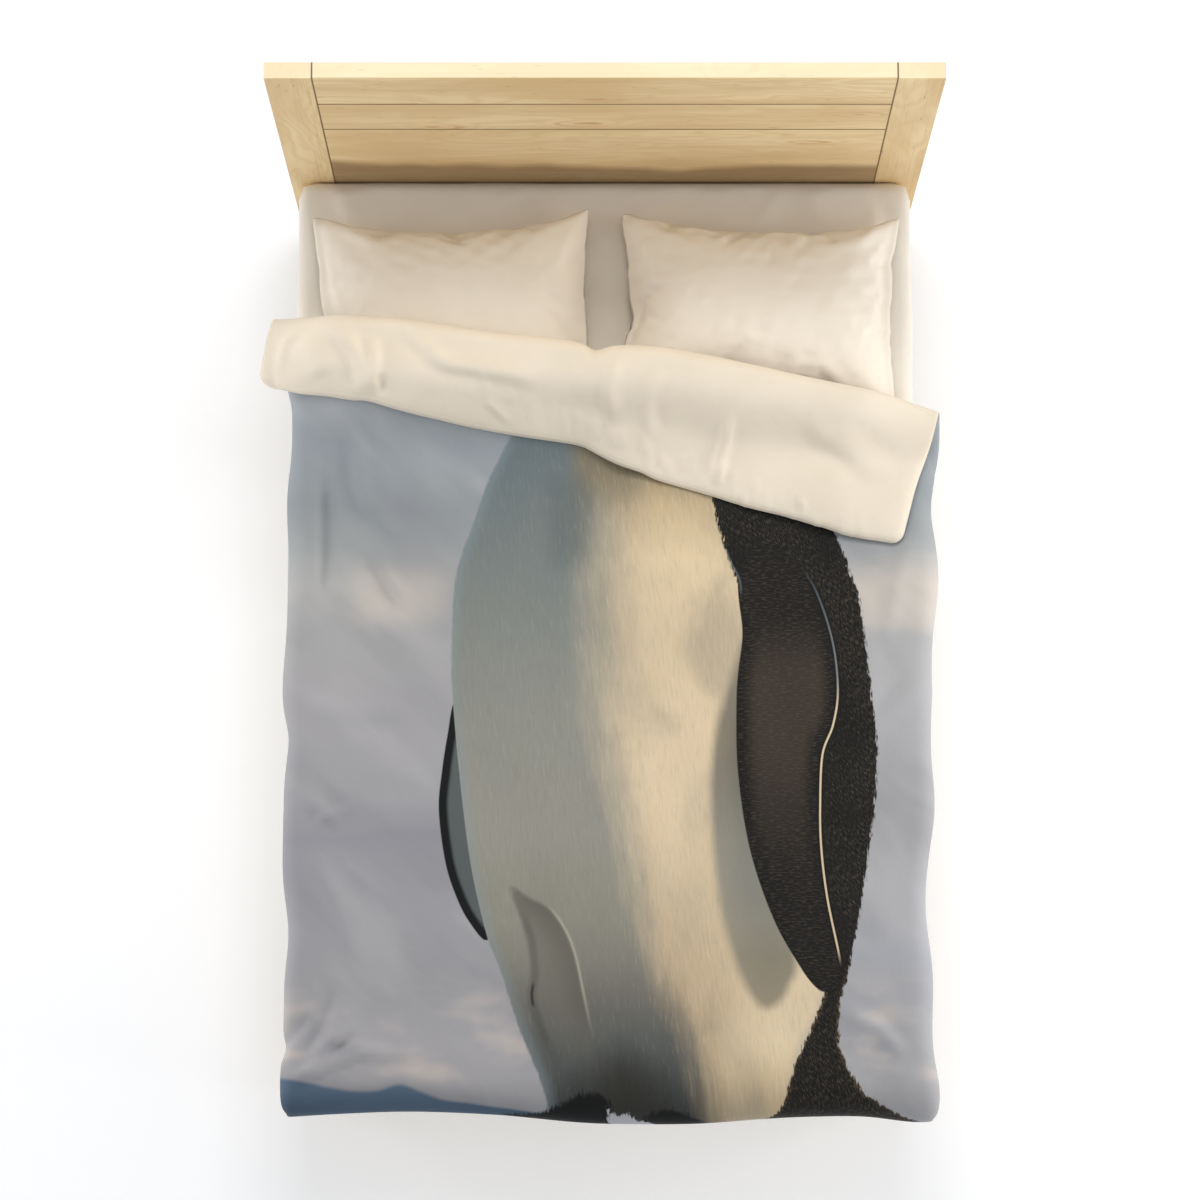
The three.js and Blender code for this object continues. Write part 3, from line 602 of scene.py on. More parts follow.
def main_underside(s, t):
    hang = smooth((fold_at(s) - t - 0.02) / 0.15)
    side_out, side_drop = bend_over(np.abs(s) - SIDE_FLAT, SIDE_RADIUS)
    foot_out, foot_drop = bend_over(FLAT_FROM - t, FOOT_RADIUS)
    x = np.sign(s) * mix(np.abs(s), SIDE_FLAT + side_out, hang) + SHIFT
    y = FOOT_Y - foot_out
    z = bed_height(x, y) - np.hypot(side_drop * hang, foot_drop)
    near = smooth((np.abs(s) - 0.52) / 0.16) * hang
    x = x + near * np.where(s < 0, LEFT_WANDER(y), RIGHT_WANDER(y))
    y = y - smooth((FLAT_FROM - t) / 0.09) * FOOT_WANDER(x)
    return x, y, z


def underside(s, t):
    """The duvet's underside. Past the fold line it turns back over itself, mirrored in that line."""
    fold = fold_at(s)
    x, y, z = main_underside(s, np.minimum(t, fold))
    past = np.maximum(t - fold, 0)
    across = past * math.cos(FOLD_TURN)
    along = -past * math.sin(FOLD_TURN)
    turn = np.minimum(across / FOLD_RADIUS, math.pi)
    back = np.maximum(across - math.pi * FOLD_RADIUS, 0)
    out = FOLD_RADIUS * np.sin(turn) - back
    fx = x + ALONG_FOLD[0] * along + ACROSS_FOLD[0] * out
    fy = y + ALONG_FOLD[1] * along + ACROSS_FOLD[1] * out
    fy = fy + (HEM_WANDER(fx) - 2 * FOLD_WANDER(x)) * smooth(back / 0.22)
    below = fill_at(HALF - np.abs(fx - SHIFT))
    lying = bed_height(fx, fy) + below + COVERS + FLAP_AIR + fill_at(edge_distance(s, t)) + COVERS
    fz = mix(z + FOLD_RADIUS * (1 - np.cos(turn)), lying, smooth(back / 0.12))
    flap = t > fold
    return np.stack([np.where(flap, fx, x), np.where(flap, fy, y), np.where(flap, fz, z)], axis=-1)


COLUMN_COUNT, FOOT_ROWS, MAIN_ROWS, TURN_ROWS, FLAP_ROWS = 189, 18, 140, 16, 34


def duvet_grid():
    """Grid of (s, t), one row per step along the duvet, closer together at the hems and the fold."""
    even = np.linspace(-1, 1, COLUMN_COUNT)
    s_row = HALF * (even + 0.05 * np.sin(math.pi * even) / math.pi)
    s_row = HALF * s_row / s_row[-1]
    fold = fold_at(s_row)
    turn = math.pi * FOLD_RADIUS / math.cos(FOLD_TURN)
    zero = np.zeros(COLUMN_COUNT)
    marks = [zero, zero + FLAT_FROM, fold, fold + turn, zero + LENGTH]
    rows = []
    for k, steps in enumerate([FOOT_ROWS, MAIN_ROWS, TURN_ROWS, FLAP_ROWS]):
        for share in np.arange(steps) / steps:
            rows.append(mix(marks[k], marks[k + 1], share))
    rows.append(marks[-1])
    t = np.array(rows)
    return round_corners(np.broadcast_to(s_row, t.shape), t)


# Soft folds: points (x, y), width, height, lean (see `creases`).
MAIN_FOLDS = [
    ([(-0.70, -0.975), (-0.665, -0.90), (-0.62, -0.83)], 0.012, -0.006, 0.3),
    ([(-0.68, -0.975), (-0.60, -0.93), (-0.51, -0.885)], 0.010, -0.006, 0.5),
    ([(-0.66, -0.990), (-0.57, -0.950), (-0.48, -0.920)], 0.009, 0.005, 0.5),
    ([(-0.650, 0.56), (-0.652, 0.29), (-0.643, 0.03)], 0.022, 0.007, 0.2),
    ([(-0.622, 0.35), (-0.612, 0.20), (-0.620, 0.02)], 0.018, -0.006, 0.0),
    ([(-0.560, 0.46), (-0.537, 0.286), (-0.430, 0.17)], 0.024, 0.007, 0.6),
    ([(-0.520, 0.17), (-0.470, 0.09), (-0.430, 0.03)], 0.016, 0.005, 0.7),
    ([(-0.660, -0.37), (-0.610, -0.41), (-0.565, -0.445)], 0.015, 0.005, 0.5),
    ([(-0.640, -0.43), (-0.590, -0.40), (-0.540, -0.395)], 0.014, 0.004, -0.5),
    ([(-0.60, -0.885), (-0.50, -0.93), (-0.38, -0.935)], 0.016, 0.004, 0.5),
    ([(-0.665, -1.0), (-0.60, -0.93), (-0.54, -0.86)], 0.018, 0.006, 0.4),
    ([(-0.655, -0.96), (-0.60, -0.86), (-0.57, -0.77)], 0.018, -0.005, 0.2),
    ([(0.655, -0.93), (0.585, -0.86), (0.50, -0.82)], 0.020, 0.005, 0.5),
    ([(0.69, -0.10), (0.62, -0.17), (0.52, -0.26)], 0.026, 0.004, 0.5),
    ([(0.68, 0.26), (0.63, 0.10), (0.60, -0.06)], 0.024, 0.005, 0.3),
    ([(-0.66, -0.16), (-0.55, -0.20), (-0.42, -0.19)], 0.030, 0.004, 0.5),
]
FLAP_FOLDS = [
    ([(-0.66, 0.62), (-0.625, 0.57), (-0.61, 0.52)], 0.026, 0.005, 0.0),
    ([(-0.61, 0.64), (-0.56, 0.585), (-0.535, 0.53), (-0.545, 0.49)], 0.024, 0.0085, 0.6),
    ([(-0.508, 0.62), (-0.50, 0.56), (-0.507, 0.49)], 0.014, 0.007, 0.1),
    ([(-0.495, 0.535), (-0.482, 0.49)], 0.009, -0.004, 0.3),
    ([(-0.46, 0.655), (-0.41, 0.600), (-0.355, 0.548), (-0.28, 0.533), (-0.20, 0.520), (-0.12, 0.500)],
     0.021, 0.0065, 0.6),
    ([(-0.262, 0.480), (-0.235, 0.458), (-0.208, 0.430)], 0.008, 0.003, 0.6),
    ([(0.275, 0.46), (0.255, 0.38), (0.238, 0.30)], 0.012, 0.008, 0.1),
    ([(0.42, 0.42), (0.50, 0.385), (0.60, 0.31)], 0.024, 0.005, 0.6),
    ([(0.50, 0.44), (0.57, 0.39), (0.65, 0.33)], 0.024, 0.003, -0.5),
    ([(0.420, 0.285), (0.431, 0.25)], 0.008, 0.003, 0.5),
    ([(0.02, 0.57), (0.0, 0.50), (0.02, 0.43)], 0.020, 0.006, 0.4),
    ([(0.14, 0.54), (0.10, 0.47), (0.12, 0.40)], 0.018, 0.004, -0.5),
    ([(-0.68, 0.64), (-0.70, 0.60), (-0.71, 0.55)], 0.012, 0.005, 0.4),
]
PUCKER_COUNT = 34


def hem_puckers():
    """Short upright puckers beside the head hem, near the middle of the turned-down part."""
    rng = np.random.default_rng(5)
    made = []
    for k in range(PUCKER_COUNT):
        x = mix(-0.28, 0.60, (k + rng.uniform(0.1, 0.9)) / PUCKER_COUNT)
        low = 0.375 - 0.36 * x + rng.uniform(-0.01, 0.03)
        long = rng.uniform(0.03, 0.08)
        lean = rng.uniform(-0.016, 0.004)
        near_middle = math.exp(-((x - 0.12) / 0.16) ** 2)
        made.append(([(x, low), (x + lean, low + long)], rng.uniform(0.006, 0.009),
                     rng.uniform(0.0008, 0.0016) + 0.0016 * near_middle, rng.uniform(-0.6, 0.6)))
    return made


def shape_duvet():
    """The underside with its folds, and the grid's s and t."""
    s, t = duvet_grid()
    points = underside(s, t)
    normals = surface_normals(blurred(points, 12))
    x, y = points[..., 0], points[..., 1]
    flap = smooth((t - fold_at(s) - 0.06) / 0.08)
    main = 1 - smooth((t - fold_at(s) + 0.25) / 0.16)
    main = main * smooth((t - 0.02) / 0.12)
    waves = 0.0030 * ripples(x, y, 0.34, 3) + 0.0015 * ripples(x, y, 0.12, 4, 1.6)
    folds = 1.9 * creases(x, y, MAIN_FOLDS) + waves
    turned = 1.8 * creases(x, y, FLAP_FOLDS + hem_puckers()) + 0.0026 * ripples(x, y, 0.20, 6)
    height = main * folds - flap * turned
    return s, t, points + normals * height[..., None], normals


def duvet_layers():
    s, t, points, normals = shape_duvet()
    filling = fill_at(edge_distance(s, t))
    tight = smooth(edge_distance(s, t) / 0.015)
    offset = lambda amount: points + normals * np.asarray(amount)[..., None]
    gap = CLEAR * tight
    back = closed_layer("duvet_cover_reverse", offset(0 * s), offset(0 * s + CLOTH))
    front_low = CLOTH + PLAY + 2 * gap + filling
    front = closed_layer("duvet_cover_printed", offset(front_low), offset(front_low + CLOTH))
    inner = (slice(2, -2), slice(2, -2))
    quilt = 0.0016 * (1 - np.abs(np.sin(math.pi * s / 0.24) * np.sin(math.pi * t / 0.24)) ** 0.25)
    low = offset(CLOTH + CLEAR + 0 * s)[inner]
    high = offset(CLOTH + CLEAR + np.maximum(filling - quilt, filling * 0.5))[inner]
    insert = closed_layer("duvet_filling", low, high)
    double = lambda grid: np.concatenate([grid.ravel(), grid.ravel()])
    for made in (back, front):
        add_attribute(made, "pan", np.column_stack([double(s), double(t), np.zeros(2 * s.size)]))
        add_attribute(made, "hem_gap", double(np.minimum(HALF - np.abs(s), np.minimum(t, LENGTH - t))))
    add_print(front, s, t, double)
    return back, front, insert


# ---- The print --------------------------------------------------------------------------------
# Outlines of the standing penguin, as (s, t) points.

BODY = [
    (-0.10, 1.90), (-0.17, 1.80), (-0.175, 1.68), (-0.194, 1.585), (-0.244, 1.484), (-0.292, 1.35),
    (-0.332, 1.227), (-0.340, 1.10), (-0.340, 0.995), (-0.325, 0.819), (-0.298, 0.602), (-0.261, 0.44),
    (-0.232, 0.365), (-0.189, 0.237), (-0.135, 0.109), (-0.10, 0.02), (0.10, 0.0), (0.34, 0.0), (0.42, 0.2),
    (0.47, 0.35), (0.40, 0.8), (0.38, 1.2), (0.30, 1.5), (0.20, 1.7), (0.13, 1.85), (0.02, 1.93)]
BACK = [
    (0.16, 1.86), (0.19, 1.70), (0.205, 1.55), (0.227, 1.405), (0.252, 1.30), (0.285, 1.20), (0.300, 1.127),
    (0.295, 1.05), (0.300, 0.90), (0.33, 0.62), (0.42, 0.40), (0.462, 0.325), (0.440, 0.258), (0.402, 0.173),
    (0.370, 0.088), (0.325, 0.03), (0.33, -0.03), (0.45, -0.03), (0.56, 0.0), (0.672, 0.036), (0.60, 0.085),
    (0.536, 0.120), (0.496, 0.190), (0.492, 0.240), (0.497, 0.301), (0.520, 0.387), (0.554, 0.559),
    (0.576, 0.732), (0.581, 0.863), (0.560, 1.061), (0.544, 1.183), (0.517, 1.26), (0.489, 1.336),
    (0.44, 1.45), (0.38, 1.58), (0.31, 1.72), (0.24, 1.84)]
FLIPPER = [
    (0.285, 1.22), (0.292, 1.10), (0.283, 1.02), (0.278, 0.951), (0.280, 0.798), (0.305, 0.624),
    (0.355, 0.473), (0.408, 0.376), (0.440, 0.332), (0.464, 0.318), (0.490, 0.332), (0.503, 0.365),
    (0.490, 0.45), (0.470, 0.516), (0.458, 0.624), (0.460, 0.83), (0.487, 0.896), (0.498, 0.973),
    (0.487, 1.083), (0.451, 1.194), (0.408, 1.26), (0.34, 1.30)]
ARM = [
    (-0.332, 0.945), (-0.349, 0.870), (-0.360, 0.790), (-0.366, 0.711), (-0.352, 0.602), (-0.330, 0.530),
    (-0.300, 0.470), (-0.259, 0.428), (-0.24, 0.50), (-0.27, 0.65), (-0.30, 0.83)]
POUCH = [
    (-0.215, 0.545), (-0.165, 0.522), (-0.126, 0.500), (-0.092, 0.452), (-0.070, 0.395), (-0.052, 0.31),
    (-0.036, 0.237), (-0.010, 0.15), (0.030, 0.05), (-0.06, 0.06), (-0.105, 0.15), (-0.142, 0.25),
    (-0.165, 0.34), (-0.180, 0.44)]
SHADE = [
    (0.300, 1.08), (0.262, 0.99), (0.236, 0.907), (0.224, 0.82), (0.222, 0.732), (0.226, 0.62),
    (0.238, 0.516), (0.255, 0.43), (0.280, 0.355), (0.312, 0.300), (0.340, 0.282), (0.370, 0.30),
    (0.389, 0.333), (0.404, 0.387), (0.38, 0.6), (0.34, 0.9)]
FEET = [
    (-0.225, 0.062), (-0.15, 0.072), (-0.103, 0.092), (-0.05, 0.112), (0.0, 0.100), (0.012, 0.06),
    (0.022, 0.020), (0.050, 0.030), (0.075, 0.066), (0.12, 0.088), (0.165, 0.080), (0.205, 0.050),
    (0.215, 0.0), (0.10, -0.02), (-0.10, -0.02), (-0.20, 0.04)]
RIM = [
    (0.408, 1.262), (0.451, 1.196), (0.487, 1.083), (0.498, 0.973), (0.487, 0.896), (0.463, 0.83),
    (0.457, 0.72), (0.459, 0.624), (0.471, 0.516), (0.493, 0.405), (0.500, 0.36)]
POUCH_RIM = POUCH[1:8]          # its upper right edge
THIN_RIM = [
    (0.252, 1.300), (0.268, 1.255), (0.287, 1.216), (0.290, 1.17)]
STRIP_TOP = curve([
    (-0.75, 0.128), (-0.685, 0.124), (-0.572, 0.106), (-0.500, 0.104), (-0.444, 0.116), (-0.395, 0.104),
    (-0.338, 0.090), (-0.231, 0.078), (-0.10, 0.060), (0.05, 0.02), (0.3, -0.05), (0.75, -0.06)])
DIVIDE = curve([
    (0.0, 0.235), (0.131, 0.200), (0.216, 0.172), (0.301, 0.130), (0.387, 0.090), (0.559, 0.052),
    (0.732, 0.022), (0.907, -0.012), (1.172, -0.020), (1.44, -0.016), (1.95, -0.02)])
SMOKE = [
    (-0.13, 0.02), (-0.09, 0.09), (-0.045, 0.145), (0.005, 0.185), (0.055, 0.180), (0.105, 0.150),
    (0.155, 0.090), (0.215, 0.02), (0.0, -0.05)]
SNOW_PATCH = [
    (-0.005, 0.090), (0.018, 0.072), (0.040, 0.080), (0.062, 0.062), (0.095, 0.050), (0.100, 0.0),
    (0.020, 0.0)]
POUCH_FOLD = [
    (-0.190, 0.505), (-0.166, 0.43), (-0.158, 0.36), (-0.163, 0.30), (-0.135, 0.22), (-0.105, 0.16)]


def add_print(front, s, t, double):
    """Stores how far each point of the cloth is inside each part of the printed picture."""
    shapes = {"body": BODY, "back": BACK, "flipper": FLIPPER, "arm": ARM, "pouch": POUCH, "shade": SHADE,
              "feet": FEET, "smoke": SMOKE, "snow_patch": SNOW_PATCH}
    for name, outline in shapes.items():
        add_attribute(front, name, double(to_shape(outline, s, t)))
    lines = {"rim": RIM, "pouch_rim": POUCH_RIM, "thin_rim": THIN_RIM, "pouch_fold": POUCH_FOLD}
    for name, line in lines.items():
        gap, side, _ = to_line(spline(line), s, t)
        add_attribute(front, name, double(gap * side))
    add_attribute(front, "strip", double(STRIP_TOP(s) - t))
    add_attribute(front, "divide", double(s - DIVIDE(t)))


def behind_penguin(g, s, t, pan, drift):
    """Snow and sky: grey-blue above, a pale band, lilac-grey snow, and a dark blue strip at the hem."""
    height = t + g.around(drift, 0.10)
    left = g.gradient(height, [
        (0.10, "A3A2A6"), (0.20, "AAA9AE"), (0.32, "A3A3A8"), (0.52, "A2A2A8"), (0.65, "9A9AA2"),
        (0.73, "A8A8AD"), (0.95, "AAA9AD"), (1.10, "AFAFB1"), (1.20, "B5B5B5"), (1.28, "A3A7A9"),
        (1.38, "949A9F"), (1.50, "99A0A6")])
    right = g.gradient(height, [
        (0.10, "A9A9AD"), (0.40, "AAACB3"), (0.55, "B4B4B8"), (0.80, "A8A9AE"), (0.95, "B4B4B8"),
        (1.12, "B1B2B4"), (1.20, "C6C3BF"), (1.27, "A8ABAE"), (1.40, "969DA1"), (1.55, "99A0A6")])
    tone = g.blend(g.ramp(s, -0.2, 0.3), left, right)
    beside = g.math("MAXIMUM", g.window(s, -0.60, -0.50, -0.40, -0.32), g.ramp(s, 0.50, 0.58))
    tone = g.over(tone, "D3CBC2", beside, g.window(height, 1.09, 1.16, 1.20, 1.27), 0.75)
    wisps = g.grain(g.join(t - s, s + t), (1.5, 4.2, 1), detail=3)
    tone = g.over(tone, "84868E", g.ramp(wisps, 0.52, 0.30, 0.0, 0.32))
    tone = g.over(tone, "C6C5C8", g.ramp(wisps, 0.52, 0.72, 0.0, 0.30))
    glints = g.ramp(g.grain(pan, (6, 12, 1)), 0.46, 0.74)
    tone = g.over(tone, "CBC2BC", g.window(t, 0.10, 0.16, 0.22, 0.40), glints, 0.8)
    strip = g.blend(g.grain(pan, (8, 40, 1)), "384C61", "4A5E72")
    strip = g.over(strip, "6A7F94", g.ramp(t, 0.06, 0.12, 0.0, 0.45))
    ragged = g.attribute("strip") + g.around(drift, 0.03)
    tone = g.over(tone, "6F7681", g.ramp(ragged, -0.045, 0.008, 0.0, 0.45))
    return g.over(tone, strip, g.ramp(ragged, -0.012, -0.002))


def breast_and_belly(g, s, t, pan, lock, plume):
    """Cool grey on the left, warm cream on the right, with fine upright feathers."""
    cool = g.gradient(t, [
        (0.05, "33373A"), (0.13, "4A4E4F"), (0.22, "5E615F"), (0.30, "72716B"), (0.39, "87867D"),
        (0.47, "939287"), (0.56, "98978C"), (0.65, "9B9A91"), (0.73, "999890"), (0.91, "94958E"),
        (1.08, "888D89"), (1.26, "7A8383"), (1.44, "6C787C")])
    warm = g.gradient(t, [
        (0.13, "C8B493"), (0.30, "C7B293"), (0.39, "C9B597"), (0.56, "D6C3A5"), (0.73, "E6D2B2"),
        (0.91, "E4D0B0"), (1.08, "DAC7A8"), (1.26, "E2CEAC"), (1.38, "CBB693"), (1.46, "A08F70")])
    edge = g.attribute("divide") + g.around(lock, 0.085)
    spread = edge * g.ramp(t, 0.55, 1.05, 1.0, 0.50)
    belly = g.blend(g.ramp(spread, -0.050, 0.070), cool, warm)
    cloudy = g.grain(pan, (5.5, 3.0, 1), detail=3, distortion=0.8)
    belly = g.over(belly, "8F8C80", g.ramp(cloudy, 0.44, 0.70), g.ramp(edge, -0.08, 0.06, 0.10, 0.42))
    belly = g.over(belly, "F4E2C1", g.ramp(s, 0.19, 0.37), g.window(t, 0.10, 0.22, 0.70, 0.95), 0.60)
    # Painted shadow: a darker brown patch just below the turned-down flap's hem, as if the flap shaded the
    # print there.
    belly = g.over(belly, "8C7D60", g.window(s, -0.10, -0.05, 0.02, 0.09), g.ramp(t, 1.34, 1.46), 0.6)
    shoulder = g.window(s, -0.16, -0.10, -0.06, -0.02) * g.window(t, 1.20, 1.30, 1.40, 1.50)
    belly = g.over(belly, "5C6668", shoulder, 0.45)
    belly = g.over(belly, "6F6D64", g.ramp(plume, 0.48, 0.74, 0.0, 0.17))
    gleam = g.ramp(plume, 0.48, 0.26, 0.0, 0.20)
    belly = g.over(belly, "F3E6CA", gleam, g.ramp(edge, -0.10, 0.05, 0.35, 1.0))
    return g.over(belly, "8B9BA3", g.ramp(g.attribute("body"), 0.03, 0.0, 0.0, 0.35))


def belly_folds(g, s, t, belly, lock):
    """The leaf-shaped pouch above the feet, the flipper's shadow and the dark feathers at the bottom."""
    rim = g.attribute("pouch_rim")
    leaf = g.ramp(g.attribute("pouch"), -0.003, 0.010) * g.ramp(t, 0.14, 0.30)
    leaf = leaf * g.ramp(rim, -0.125, -0.035, 0.35, 1.0)
    belly = g.over(belly, "716E66", leaf, 0.75)
    belly = g.over(belly, "55534C", leaf, g.ramp(rim, -0.060, -0.004), 0.35)
    for line, outer, inner, along, share, paint in (
            ("pouch_rim", 0.0050, 0.0006, (0.20, 0.34, 0.47, 0.52), 0.45, "C9C2B0"),
            ("pouch_fold", 0.016, 0.002, (0.16, 0.22, 0.45, 0.51), 0.45, "4E4D48"),
            ("pouch_fold", 0.0045, 0.0015, (0.28, 0.295, 0.325, 0.345), 0.8, "2A2A28")):
        belly = g.over(belly, paint, g.near_line(line, outer, inner), g.window(t, *along), share)
    shade_in = g.attribute("shade") + g.around(lock, 0.012)
    shade_tone = g.gradient(t, [
        (0.30, "978E7A"), (0.39, "8B8677"), (0.47, "8F8D82"), (0.56, "888982"), (0.65, "7F817A"),
        (0.73, "73756E"), (0.82, "686861"), (0.91, "6F6B61"), (1.05, "8E8676")])
    shade_share = g.ramp(0.31 - s, -0.01, 0.085, 0.97, 0.80)
    belly = g.over(belly, shade_tone, g.ramp(shade_in, -0.014, 0.016), shade_share)
    smoke = g.attribute("smoke") + g.around(lock, 0.06)
    return g.over(belly, "30312B", g.ramp(smoke, -0.055, 0.070, 0.0, 0.90))


def coat_tone(g, s, t, pan, back):
    """Nearly black with short brown flecks, browner low down and at the tail's tips."""
    hair = g.grain(g.join(s + t * 0.55, t - s * 0.55), (520, 75, 1), roughness=0.6)
    patchy = g.ramp(g.grain(pan, (6, 4, 1)), 0.36, 0.62, 0.30, 0.85)
    coat = g.over("111212", "5B5247", g.ramp(hair, 0.46, 0.74), patchy)
    coat = g.over(coat, "5E503D", g.ramp(t, 0.30, 0.10), g.ramp(hair, 0.50, 0.74, 0.0, 0.5))
    tips = g.ramp(back, 0.010, 0.0) * g.ramp(t, 0.42, 0.30)
    return g.over(coat, "7F6646", tips, g.ramp(hair, 0.42, 0.66, 0.05, 0.55))


def flipper_tone(g, t, pan, inside):
    """Dark skin, paler round its middle and dark again at its edge, with fine bars across."""
    glow = g.ramp(inside, 0.008, 0.050) * g.window(t, 0.52, 0.86, 0.99, 1.16)
    skin = g.over("1A1919", "50473D", glow, 0.50)
    skin = g.over(skin, "111212", g.ramp(inside, 0.0, 0.03, 0.6, 0.0))
    return g.over(skin, "6A5D4E", g.ramp(g.grain(pan, (75, 330, 1)), 0.46, 0.74, 0.0, 0.30))


def dark_parts(g, s, t, picture, shag, pan):
    """Back and tail, flipper with its pale rim, far arm, feet and the snow between them."""
    back, inside, arm = [g.attribute(name) for name in ("back", "flipper", "arm")]
    picture = g.over(picture, coat_tone(g, s, t, pan, back), g.ramp(back + shag, -0.0030, 0.0022))
    picture = g.over(picture, flipper_tone(g, t, pan, inside), g.ramp(inside, -0.0015, 0.0015))
    rim_tone = g.gradient(t, [(0.36, "D9C7A6"), (0.93, "DCCAAA"), (1.00, "7C8285"), (1.20, "4A5359")])
    rim_run = g.window(t, 0.37, 0.42, 1.18, 1.25)
    rim = g.near_line("rim", 0.0034, 0.0012) * rim_run
    picture = g.over(picture, rim_tone, rim)
    picture = g.over(picture, "0B0C0C", g.near_line("rim", 0.011, 0.003) * rim_run - rim, 0.7)
    thin_run = g.window(t, 1.175, 1.20, 1.27, 1.295)
    picture = g.over(picture, "5F6A70", g.near_line("thin_rim", 0.0035, 0.001), thin_run, 0.6)
    arm_tone = g.blend(g.ramp(arm, 0.014, 0.024), "101315", "5C6364")
    outside = g.ramp(g.attribute("body"), 0.0015, -0.0015)
    picture = g.over(picture, arm_tone, g.ramp(arm, -0.0015, 0.0015), outside)
    picture = g.over(picture, "0C0E10", g.ramp(g.attribute("feet") + shag * 1.2, -0.006, 0.006))
    return g.over(picture, "B7B9BF", g.ramp(g.attribute("snow_patch") + shag * 1.1, -0.001, 0.004))


def printed_cloth():
    """The picture on the duvet cover, on the same cloth as the rest."""
    g = Graph("duvet_print", roughness=0.85, sheen_weight=0.05, sheen_roughness=0.45, specular_ior_level=0.12)
    pan = g.attribute("pan", vector=True)
    s, t, _ = g.split(pan)
    tuft = g.grain(pan, (75, 28, 1), detail=3, roughness=0.6)
    shag = g.around(g.grain(pan, (210, 60, 1)), 0.018) + g.around(tuft, 0.016)
    drift = g.grain(pan, (1.6, 5.0, 1), detail=4, roughness=0.55)
    plume_place = g.join(s + t * 0.10 + g.grain(pan, (2.5, 2.0, 1)) * 0.05, t)
    plume = g.grain(plume_place, (210, 22, 1), detail=4, roughness=0.65)
    lock = g.grain(plume_place, (34, 6, 1), detail=3, roughness=0.55)
    belly = belly_folds(g, s, t, breast_and_belly(g, s, t, pan, lock, plume), lock)
    body_in = g.attribute("body") + shag * 0.3
    picture = g.over(behind_penguin(g, s, t, pan, drift), belly, g.ramp(body_in, -0.0035, 0.0035))
    picture = dark_parts(g, s, t, picture, shag, pan)
    nap = g.noise(pan, 900)
    g.colour(g.over(picture, "FFFFFF", g.ramp(nap, 0.3, 0.8, 0.0, 0.02)))
    g.rough(g.ramp(nap, 0.2, 0.8, 0.78, 0.92))
    soft = g.noise(pan, 26, detail=4, roughness=0.55, distortion=0.9)
    g.bump((weave(g, pan), 0.25, 0.00012), (nap, 0.25, 0.0003), (hem_seam(g), 0.4, 0.0008),
           (soft, 0.3, 0.003))
    return g.material


def build_duvet():
    back, front, insert = duvet_layers()
    dress(back, cloth("duvet_cream", "ECE2D1", "E5DAC8", seamed=True))
    dress(front, printed_cloth())
    dress(insert, cloth("duvet_casing", "F3F1EC", "E9E6DF", pitch=0.0007))
    declare(back, "duvet_cover_back")
    declare(front, "duvet_cover_front")
    declare(insert, "duvet_insert")


# ---- Mattress and fitted sheet ----------------------------------------------------------------

MATTRESS_HALF, MATTRESS_LONG, MATTRESS_Y = 0.680, 0.994, 0.0205
MATTRESS_LOW, MATTRESS_TOP, EDGE, CORNER = 0.3028, 0.5175, 0.026, 0.030


def rounded_plan(a, b, radius, step):
    """x and y of a grid over a rectangle of half sizes a and b, its corners drawn in onto arcs."""
    columns, rows = int(2 * a / step) + 1, int(2 * b / step) + 1
    x, y = np.meshgrid(np.linspace(-a, a, columns), np.linspace(-b, b, rows))
    p = np.clip((np.abs(x) - (a - radius)) / radius, 0, 1)
    q = np.clip((np.abs(y) - (b - radius)) / radius, 0, 1)
    both = (p > 0) & (q > 0)
    x = np.where(both, np.sign(x) * (a - radius + radius * p * np.sqrt(1 - q * q / 2)), x)
    y = np.where(both, np.sign(y) * (b - radius + radius * q * np.sqrt(1 - p * p / 2)), y)
    return x, y


def side_profile(edge, top, low, under):
    """(way out, height) of each ring: over the upper edge, down the side and in under the lower edge."""
    above, below = np.radians([15, 30, 45, 60, 75, 90]), np.radians([0, 22, 45, 67, 90])
    profile = [(edge * math.sin(k), top - edge * (1 - math.cos(k))) for k in above]
    profile += [(edge, z) for z in np.linspace(top - edge, low + edge, 16)[1:-1]]
    profile += [(edge * math.cos(k), low + edge * (1 - math.sin(k))) for k in below]
    return profile + [(-d, low) for d in np.linspace(0, under, 6)[1:]]


